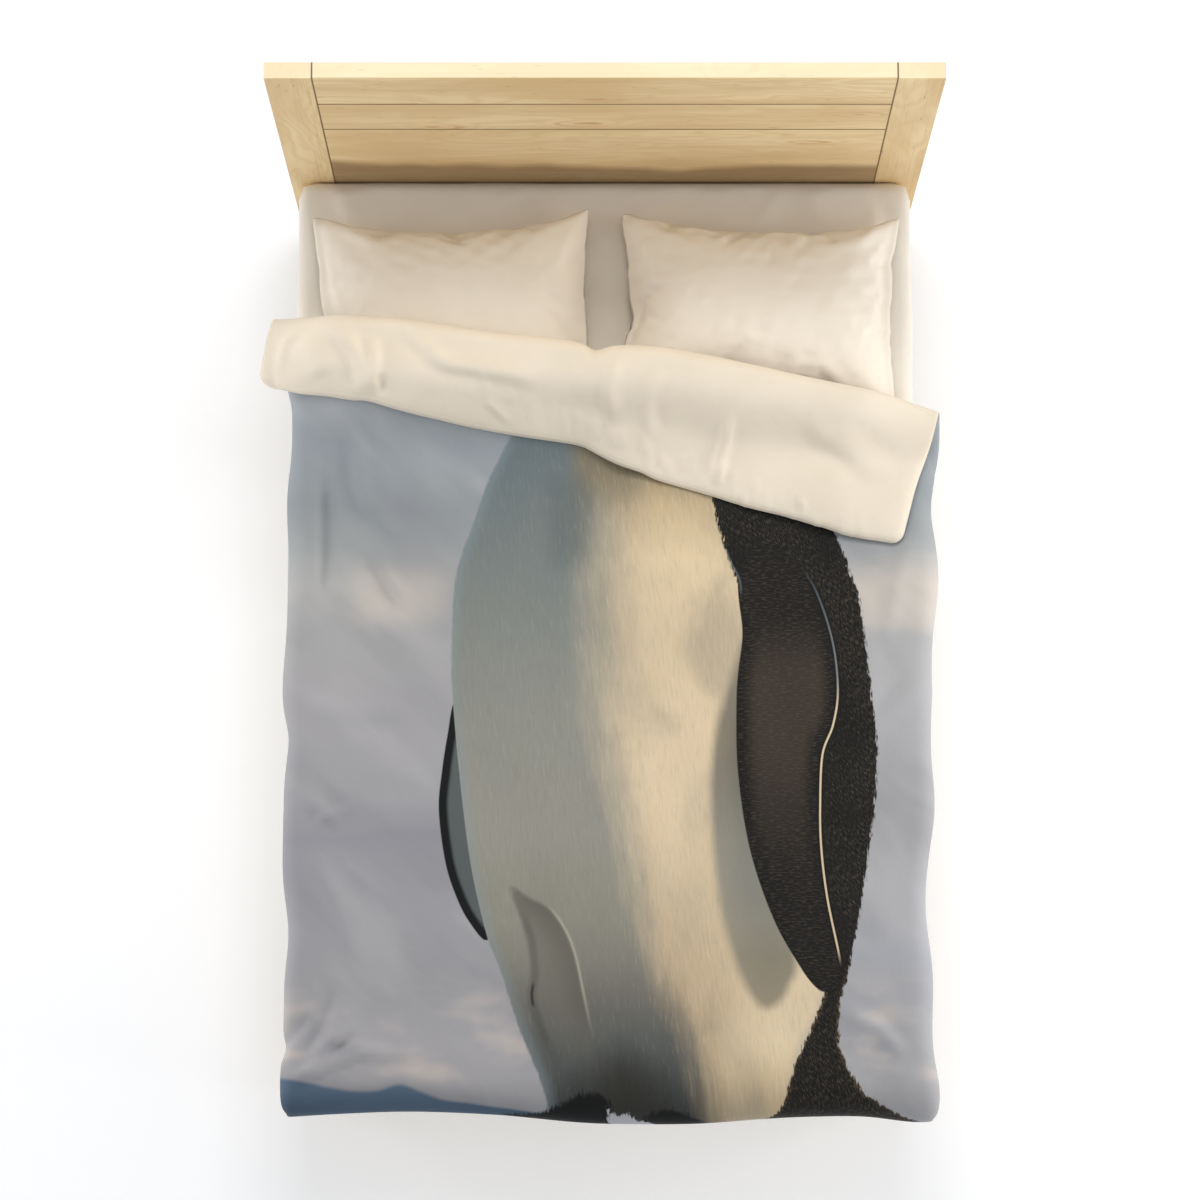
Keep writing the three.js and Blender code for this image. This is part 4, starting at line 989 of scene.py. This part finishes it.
def box_shell(grow, step, under):
    """A soft-cornered box as a top grid and rings down its sides and in under it.

    Gives the points, the faces, the unit way out at each point, each point's ring (0 on the top) and the
    vertices of the last ring."""
    edge, corner = EDGE + grow, CORNER + grow
    a, b, radius = MATTRESS_HALF + grow - edge, MATTRESS_LONG + grow - edge, corner - edge
    top, low = MATTRESS_TOP + grow, MATTRESS_LOW - grow
    x, y = rounded_plan(a, b, radius, step)
    index = np.arange(x.size).reshape(x.shape)
    points = [np.stack([x, y, np.full(x.shape, top)], axis=-1).reshape(-1, 3)]
    faces, normals, ring_of = [quads(index)], [np.tile([0.0, 0.0, 1.0], (x.size, 1))], [np.zeros(x.size, int)]
    before = np.concatenate([index[0, :], index[1:, -1], index[-1, -2::-1], index[-2:0:-1, 0]])
    plan = points[0][before][:, :2]
    out = plan - np.clip(plan, [-(a - radius), -(b - radius)], [a - radius, b - radius])
    out = out / np.maximum(np.linalg.norm(out, axis=1, keepdims=True), 1e-9)
    for k, (reach, z) in enumerate(side_profile(edge, top, low, under)):
        now = x.size + k * len(plan) + np.arange(len(plan))
        faces.append(np.stack([before, now, np.roll(now, -1), np.roll(before, -1)], axis=-1))
        tilt = np.clip((z - (top - edge)) / edge, 0, 1) - (1 - np.clip((z - (low + edge)) / edge + 1, 0, 1))
        level = np.full(len(plan), tilt)
        points.append(np.column_stack([plan + out * reach, np.full(len(plan), z)]))
        normals.append(np.column_stack([out * math.sqrt(max(1 - tilt * tilt, 0)), level]))
        ring_of.append(np.full(len(plan), k + 1))
        before = now
    made = np.concatenate(points)
    made[:, 1] += MATTRESS_Y
    return made, np.concatenate(faces), np.concatenate(normals), np.concatenate(ring_of), before


SHEET_FOLDS = [
    ([(0.385, 1.01), (0.36, 0.965), (0.325, 0.91)], 0.020, 0.006, 0.7),
    ([(0.575, 1.0), (0.60, 0.96), (0.63, 0.90)], 0.020, 0.006, -0.7),
    ([(0.47, 1.01), (0.46, 0.96), (0.47, 0.92)], 0.022, 0.004, 0.3),
    ([(-0.60, 1.0), (-0.585, 0.95), (-0.56, 0.91)], 0.020, 0.004, 0.6),
    ([(-0.20, 1.01), (-0.22, 0.985), (-0.30, 0.965)], 0.016, 0.003, 0.5),
    ([(0.05, 1.0), (0.10, 0.98), (0.18, 0.97)], 0.014, 0.003, 0.5),
    ([(0.645, 0.98), (0.655, 0.85), (0.648, 0.70)], 0.020, 0.005, 0.2),
    ([(-0.665, 0.95), (-0.650, 0.85), (-0.662, 0.72)], 0.022, 0.005, 0.1),
    ([(-0.03, 0.95), (0.0, 0.85), (-0.01, 0.70)], 0.020, 0.004, 0.4),
]
PULL_COUNT = 26


def side_pulls():
    """Slanting folds on the sheet's sides, drawn up from the elastic, by distance along a side and height."""
    rng = np.random.default_rng(9)
    made = []
    for k in range(PULL_COUNT):
        at = mix(-1.0, 1.0, (k + rng.uniform(0.1, 0.9)) / PULL_COUNT)
        lean = rng.uniform(-0.07, 0.07)
        made.append(([(at, 0.305), (at + 0.4 * lean, 0.37), (at + lean, rng.uniform(0.40, 0.48))],
                     rng.uniform(0.008, 0.018), rng.uniform(0.002, 0.0045), rng.uniform(-0.5, 0.5)))
    return made


def sheet_top_lift(x, y):
    """Height of the folds on the sheet's top, weaker close to its edges."""
    inland = smooth((0.66 - np.abs(x)) / 0.05) * smooth((1.01 - y) / 0.02)
    return (creases(x, y, SHEET_FOLDS) + 0.0012 * ripples(x, y, 0.16, 11)) * mix(0.35, 1.0, inland)


def sheet_side_lift(x, y, z):
    """How far the sheet's sides stand out: gathers above the elastic and folds pulled up from it."""
    run = np.where(np.abs(x) > 0.66, y, x)
    gather = np.sin(run * 2 * math.pi / 0.034 + 3 * np.sin(run * 9)) * 0.5
    gather = gather + 0.5 * ripples(run, 0 * run, 0.05, 12)
    pulls = 0.0024 * ripples(run, z, 0.22, 13, stretch=2.5) + creases(run, z, side_pulls())
    return 0.0034 * smooth((0.50 - z) / 0.19) * gather + pulls * smooth((0.51 - z) / 0.05)


def build_sheet():
    points, faces, ways, ring, hem = box_shell(0.0024, 0.0125, 0.058)
    x, y, z = points.T
    top = ring == 0
    lift = np.where(top, sheet_top_lift(x, y), 0)
    side = np.where(top, 0, sheet_side_lift(x, y, z))
    pucker = 0.0012 * ripples(x, 0 * x, 0.028, 14) * smooth((y - 0.965) / 0.03) * top
    points = points + ways * (np.clip(lift + pucker, -0.0005, 0.012) + np.maximum(side, -0.0012))[:, None]
    made = make_object("fitted_sheet_cloth", points, faces)
    modifier(made, "SOLIDIFY", thickness=FABRIC, offset=-1)
    dress(made, cloth("sheet_cotton", "EDE7DD", "E5DED3"))
    declare(made, "fitted_sheet")
    return points[hem]


def build_mattress():
    points, faces, ways, ring, _ = box_shell(0.0, 0.02, 0.40)
    x, y, z = points.T
    quilt = np.abs(np.sin(math.pi * (x + y) / 0.16) * np.sin(math.pi * (x - y) / 0.16)) ** 0.5
    dents = -0.006 * (1 - quilt) * smooth((0.65 - np.abs(x)) / 0.04)
    ribs = -0.0015 * (1 - np.abs(np.sin(math.pi * (z - 0.31) / 0.036)) ** 0.4)
    made = make_object("mattress_quilted", points + ways * np.where(ring == 0, dents, ribs)[:, None], faces)
    dress(made, cloth("mattress_ticking", "F1EFE9", "E0DDD3", pitch=0.0016))
    declare(made, "mattress")


# ---- Pillows ----------------------------------------------------------------------------------

PILLOW_HALF, PILLOW_TALL, PILLOW_SEAM = 0.308, 0.220, 0.555
PILLOW_UP, PILLOW_DOWN = 0.087, 0.031
WAIST_EASE = 0.42               # share of the flat outline kept, so that the sides draw in less
PILLOW_PLACES = [("left", -0.330, 0.715, 1.9, -1), ("right", 0.337, 0.712, -1.9, 1)]
BAG_WIDE, BAG_TALL, BAG_STEP = 0.66, 0.51, 0.0115
MOUTH_GAP, PAD_SHRINK = (0.003, 0, 0.0016), 0.982


def bag_grids(share_mouth):
    """Index grids of the two sides of a sewn bag; the sides share their rim, or all but its mouth."""
    columns, rows = int(BAG_WIDE / BAG_STEP) + 1, int(BAG_TALL / BAG_STEP) + 1
    upper = np.arange(columns * rows).reshape(rows, columns)
    lower = upper.copy()
    inside = (slice(1, -1), slice(1, -1) if share_mouth else slice(1, None))
    lower[inside] = columns * rows + np.arange(lower[inside].size).reshape(lower[inside].shape)
    return upper, lower


def make_bag(name, sides, upper_points, lower_points, mirrored=False):
    """A sewn bag's mesh from the index grids and the points of its two sides, and those points."""
    upper, lower = sides
    points = np.zeros((lower.max() + 1, 3))
    points[lower.ravel()] = lower_points.reshape(-1, 3)
    points[upper.ravel()] = upper_points.reshape(-1, 3)
    faces = np.concatenate([quads(upper), quads(lower)[:, ::-1]])
    return make_object(name, points, faces[:, ::-1] if mirrored else faces), points


def simulate(made, frames, pressure, stiffness, bending):
    """Runs Blender's cloth simulation on a mesh and gives the points it ends with."""
    added = made.modifiers.new("Cloth", "CLOTH")
    settings = {"quality": 6, "mass": 0.15, "air_damping": 4, "tension_stiffness": stiffness,
                "compression_stiffness": stiffness, "shear_stiffness": stiffness / 3,
                "bending_stiffness": bending, "use_pressure": True, "uniform_pressure_force": pressure}
    for key, value in settings.items():
        setattr(added.settings, key, value)
    added.settings.effector_weights.gravity = 0
    added.collision_settings.use_collision = False
    added.point_cache.frame_start, added.point_cache.frame_end = 1, frames
    scene = bpy.context.scene
    scene.frame_start, scene.frame_end = 1, frames
    for frame_number in range(1, frames + 1):
        scene.frame_set(frame_number)
    graph = bpy.context.evaluated_depsgraph_get()
    result = vertices_of(made.evaluated_get(graph))
    made.modifiers.clear()
    scene.frame_set(1)
    return result


def blown_bag(seed):
    """Points of both sides of a flat sewn bag after it has been filled: (rows, columns, 3) twice."""
    upper, lower = bag_grids(True)
    rows, columns = upper.shape
    x, y = np.meshgrid(np.linspace(-BAG_WIDE / 2, BAG_WIDE / 2, columns),
                       np.linspace(-BAG_TALL / 2, BAG_TALL / 2, rows))
    inland = np.clip((1 - (2 * x / BAG_WIDE) ** 2) * (1 - (2 * y / BAG_TALL) ** 2), 0, 1)
    dome = 0.012 * np.sqrt(inland)
    dome = dome + 0.0015 * ripples(x, y, 0.05, seed) * (dome > 0)
    made, points = make_bag("bag_to_fill", (upper, lower), np.dstack([x, y, dome]), np.dstack([x, y, -dome]))
    points = simulate(made, frames=36, pressure=5.0, stiffness=18, bending=0.4)
    bpy.data.objects.remove(made)
    reach = np.abs(points).max(axis=0)
    points = points * np.array([PILLOW_HALF / reach[0], PILLOW_TALL / reach[1], 1])
    for index in (upper, lower):
        flat_x = x.ravel() * 2 * PILLOW_HALF / BAG_WIDE
        points[index.ravel(), 0] = mix(points[index.ravel(), 0], flat_x, WAIST_EASE)
    rise = points[:, 2]
    points[:, 2] = np.where(rise > 0, rise * PILLOW_UP / rise.max(), rise * PILLOW_DOWN / -rise.min())
    return points[upper], points[lower]


def place_pillow(grid, spot, shrink=1.0):
    _, x, y, turn, way = spot
    angle = math.radians(turn)
    local = grid * np.array([shrink * way, shrink, shrink])
    turned_x = math.cos(angle) * local[..., 0] - math.sin(angle) * local[..., 1]
    turned_y = math.sin(angle) * local[..., 0] + math.cos(angle) * local[..., 1]
    return np.stack([turned_x + x, turned_y + y, local[..., 2] + PILLOW_SEAM], axis=-1)


PILLOW_FOLDS = {
    "left": [([(-0.44, 0.925), (-0.45, 0.89), (-0.47, 0.85)], 0.012, 0.006, 0.6),
             ([(-0.38, 0.925), (-0.375, 0.885)], 0.010, 0.005, -0.6),
             ([(-0.29, 0.93), (-0.27, 0.89), (-0.26, 0.86)], 0.012, 0.006, 0.6),
             ([(-0.185, 0.935), (-0.165, 0.90), (-0.16, 0.87)], 0.010, 0.005, 0.6),
             ([(-0.14, 0.94), (-0.15, 0.90), (-0.18, 0.86)], 0.010, 0.005, -0.6),
             ([(-0.60, 0.90), (-0.55, 0.86), (-0.50, 0.84)], 0.016, 0.005, 0.5),
             ([(-0.60, 0.80), (-0.56, 0.79), (-0.51, 0.80)], 0.014, 0.004, 0.4),
             ([(-0.05, 0.90), (-0.09, 0.85), (-0.11, 0.79)], 0.014, 0.005, 0.4)],
    "right": [([(0.09, 0.94), (0.14, 0.90), (0.21, 0.87)], 0.012, 0.006, 0.6),
              ([(0.13, 0.935), (0.17, 0.905), (0.25, 0.885)], 0.010, 0.005, -0.6),
              ([(0.19, 0.925), (0.235, 0.885), (0.27, 0.84)], 0.012, 0.006, 0.6),
              ([(0.35, 0.915), (0.355, 0.875)], 0.010, 0.005, 0.6),
              ([(0.42, 0.915), (0.435, 0.87), (0.45, 0.84)], 0.012, 0.005, -0.6),
              ([(0.52, 0.92), (0.53, 0.88)], 0.010, 0.004, 0.5),
              ([(0.62, 0.90), (0.57, 0.85), (0.52, 0.82)], 0.016, 0.006, -0.5),
              ([(0.07, 0.86), (0.10, 0.80), (0.105, 0.73)], 0.014, 0.005, 0.4)],
}


def pillow_case(spot, upper_points, lower_points):
    """The case, whose outer end is open, with the small creases of its top."""
    sides = bag_grids(False)
    mouth = np.zeros(upper_points.shape)
    mouth[:, -1] = MOUTH_GAP
    top = place_pillow(upper_points + mouth, spot)
    bottom = place_pillow(lower_points + mouth * [1, 1, -1], spot)
    row, column = np.indices(sides[0].shape)
    to_rim = np.minimum.reduce([row, row[::-1], column, column[:, ::-1]])
    folds = creases(top[..., 0], top[..., 1], PILLOW_FOLDS[spot[0]])
    top[..., 2] += 1.25 * folds * smooth((to_rim - 1) / 4)
    case, _ = make_bag("pillowcase_cloth_" + spot[0], sides, top, bottom, mirrored=spot[4] < 0)
    modifier(case, "SUBSURF", levels=1, render_levels=1)
    modifier(case, "SOLIDIFY", thickness=FABRIC, offset=-1)
    return case


def pillow_pad(spot, upper_points, lower_points):
    """The filled pillow, a little smaller than its case all round."""
    top = place_pillow(upper_points * [1, 1, 0.93], spot, PAD_SHRINK) - [0, 0, 0.003]
    bottom = place_pillow(lower_points * [1, 1, 0.88], spot, PAD_SHRINK)
    return make_bag("pillow_inner_" + spot[0], bag_grids(True), top, bottom, mirrored=spot[4] < 0)[0]


def build_pillows():
    case_cloth = cloth("pillowcase_cotton", "F0E8DB", "E9E0D2")
    ticking = cloth("pillow_ticking", "F5F3EE", "ECE9E2", pitch=0.0008)
    for seed, spot in enumerate(PILLOW_PLACES, 21):
        filled = blown_bag(seed)
        case = pillow_case(spot, *filled)
        dress(case, case_cloth)
        pad = pillow_pad(spot, *filled)
        dress(pad, ticking)
        declare(case, "pillowcase_" + spot[0])
        declare(pad, "pillow_" + spot[0])


# ---- Sheet elastic and zip --------------------------------------------------------------------

def build_elastic(line):
    """A ribbed band along the sheet's hem, sewn to its inside."""
    count = len(line)
    out = line - line.mean(axis=0)
    out[:, 2] = 0
    out = out / np.linalg.norm(out, axis=1, keepdims=True)
    odd = np.arange(count) % 2
    profile = [(0.0, -0.0003), (0.0, -0.0016), (0.008, -0.0018), (0.008, -0.0003)]
    rings, faces = [], []
    for k, (inward, drop) in enumerate(profile):
        ring = line - out * (inward - 0.009) + np.array([0, 0, drop])
        if drop < -0.001:
            ring[:, 2] += 0.0006 * (odd - 0.5)
        rings.append(ring)
        a = k * count + np.arange(count)
        b = (k + 1) % len(profile) * count + np.arange(count)
        faces.append(np.stack([a, np.roll(a, -1), np.roll(b, -1), b], axis=-1))
    made = make_object("hem_elastic", np.concatenate(rings), np.concatenate(faces))
    dress(made, cloth("sheet_elastic", "F0EEE8", "DDDAD0", pitch=0.0012))
    declare(made, "sheet_elastic")


ZIP_HALF, ZIP_Y, ZIP_Z = 0.502, -1.0386, 0.41725
TOOTH_PITCH, TOOTH_STAGGER = 0.0025, 0.0006
TOOTH_HALF, STOP_HALF = (0.00085, 0.00135, 0.0007), (0.00175, 0.0028, 0.0014)
BOX_SIGNS = [(x, y, z) for z in (-1, 1) for x, y in ((-1, -1), (1, -1), (1, 1), (-1, 1))]
BOX_FACES = [(0, 3, 2, 1), (4, 5, 6, 7), (0, 1, 5, 4), (1, 2, 6, 5), (2, 3, 7, 6), (3, 0, 4, 7)]


def boxes(name, listed, bevel):
    """One mesh of many boxes, each given by its centre and its half size."""
    points, faces = [], []
    for centre, half in listed:
        faces += [[len(points) + k for k in face] for face in BOX_FACES]
        points += [tuple(c + s * h for c, s, h in zip(centre, sign, half)) for sign in BOX_SIGNS]
    made = make_object(name, points, faces, smooth_shading=False)
    modifier(made, "BEVEL", width=bevel, segments=2)
    return made


def zip_teeth():
    """Teeth set to the two sides of the line in turn, with a stop at each end."""
    listed = []
    for k in range(int(2 * ZIP_HALF / TOOTH_PITCH)):
        way = 1 if k % 2 else -1
        x = -ZIP_HALF + (k + 0.5) * TOOTH_PITCH
        listed.append(((x, ZIP_Y + way * TOOTH_STAGGER, ZIP_Z), TOOTH_HALF))
    for way in (-1, 1):
        listed.append(((way * (ZIP_HALF + TOOTH_PITCH / 2), ZIP_Y, ZIP_Z), STOP_HALF))
    teeth = boxes("zip_teeth", listed, 0.0002)
    dress(teeth, cloth("zip_nylon", "E6DCC6", "D6CAB0", roughness=0.5, sheen=0.0))
    declare(teeth, "zip_chain")


def zip_tape(side, way):
    """The tape that joins one row of teeth to its side of the hem."""
    x = np.linspace(-ZIP_HALF - 0.02, ZIP_HALF + 0.02, 161)
    hem_y = FOOT_Y - FOOT_RADIUS - HEM_DROP * FLARE - FOOT_WANDER(x)
    bends = [(ZIP_Y + way * 0.0021 + 0 * x, ZIP_Z + 0.0006), (ZIP_Y + way * 0.0006 + 0 * x, ZIP_Z + 0.0011),
             (mix(ZIP_Y, hem_y, 0.9), 0.4195), (hem_y + way * 0.0001, 0.4225)]
    points = np.concatenate([np.column_stack([x, y, np.full(x.shape, z)]) for y, z in bends])
    tape = make_object("zip_tape_" + side, points, quads(np.arange(len(points)).reshape(len(bends), -1)))
    modifier(tape, "SOLIDIFY", thickness=0.0004, offset=0)
    dress(tape, cloth("zip_tape_" + str(way), "E9DFCB", "DDD1B9", pitch=0.0008))
    declare(tape)


def build_zip():
    zip_teeth()
    zip_tape("front", -1)
    zip_tape("rear", 1)


# ---- Wood and hardware kept from the CAD part -------------------------------------------------

# HEAD_TOP is the headboard's top, made paler there by a painted highlight; SHADOW_HEIGHT is the level of the
# painted shadow band on its lower planks.
SEAM_HEIGHTS, STILE_EDGE, HEAD_TOP, SHADOW_HEIGHT = (0.282, 0.458, 0.898, 1.074), 0.600, 1.250, 0.53
SMALL_PIECES = ("zip_slider", "zip_pull", "head_bolt", "foot_bolt")


def node_looks():
    """Materials by the start of a node's name."""
    pale, frame_tones = ("EDD6AA", "D9BC8B"), ("DEC797", "C9AC76")
    seams = [("Z", height, 0.0034) for height in SEAM_HEIGHTS]
    looks = {}
    for seed, name in enumerate(("plank_bottom", "plank_wide", "plank_middle", "plank_top"), 2):
        looks[name] = wood("panel_" + name, *pale, "X", seed, grooves=seams, top=HEAD_TOP, painted_shadow_level=SHADOW_HEIGHT)
    for seed, name, edge in ((7, "stile_left", -STILE_EDGE), (8, "stile_right", STILE_EDGE)):
        looks[name] = wood("panel_" + name, *pale, "Z", seed, grooves=[("X", edge, 0.0042)], top=HEAD_TOP)
    kinds = [(("foot_rail", "head_rail"), wood("frame_wood_across", *frame_tones, "X", 11, 0.55)),
             (("side_rail", "ledger", "centre_beam"), wood("frame_wood_along", *frame_tones, "Y", 12, 0.55)),
             (("foot_post", "centre_leg"), wood("frame_wood_upright", *frame_tones, "Z", 13, 0.55)),
             (("slat",), wood("slat_wood", "E6D3AA", "D5BD8C", "X", 14, 0.62)),
             (("glide",), felt("glide_felt")),
             (("head_bolt", "foot_bolt"), metal("bolt_steel", "B4B6B8", 0.38)),
             (("zip_slider", "zip_pull"), metal("zip_metal", "CFCAC2", 0.24))]
    for starts, look in kinds:
        looks.update(dict.fromkeys(starts, look))
    return looks


def dress_nodes():
    looks = node_looks()
    for name, node in NODES.items():
        for start in looks:
            if name.startswith(start):
                dress(node, looks[start])
                modifier(node, "BEVEL", width=0.0003 if start in SMALL_PIECES else 0.0014, segments=3,
                         limit_method="ANGLE", angle_limit=math.radians(35))


add_camera()
add_studio()
add_floor()
build_duvet()
hem_line = build_sheet()
build_mattress()
build_pillows()
build_elastic(hem_line)
build_zip()
dress_nodes()
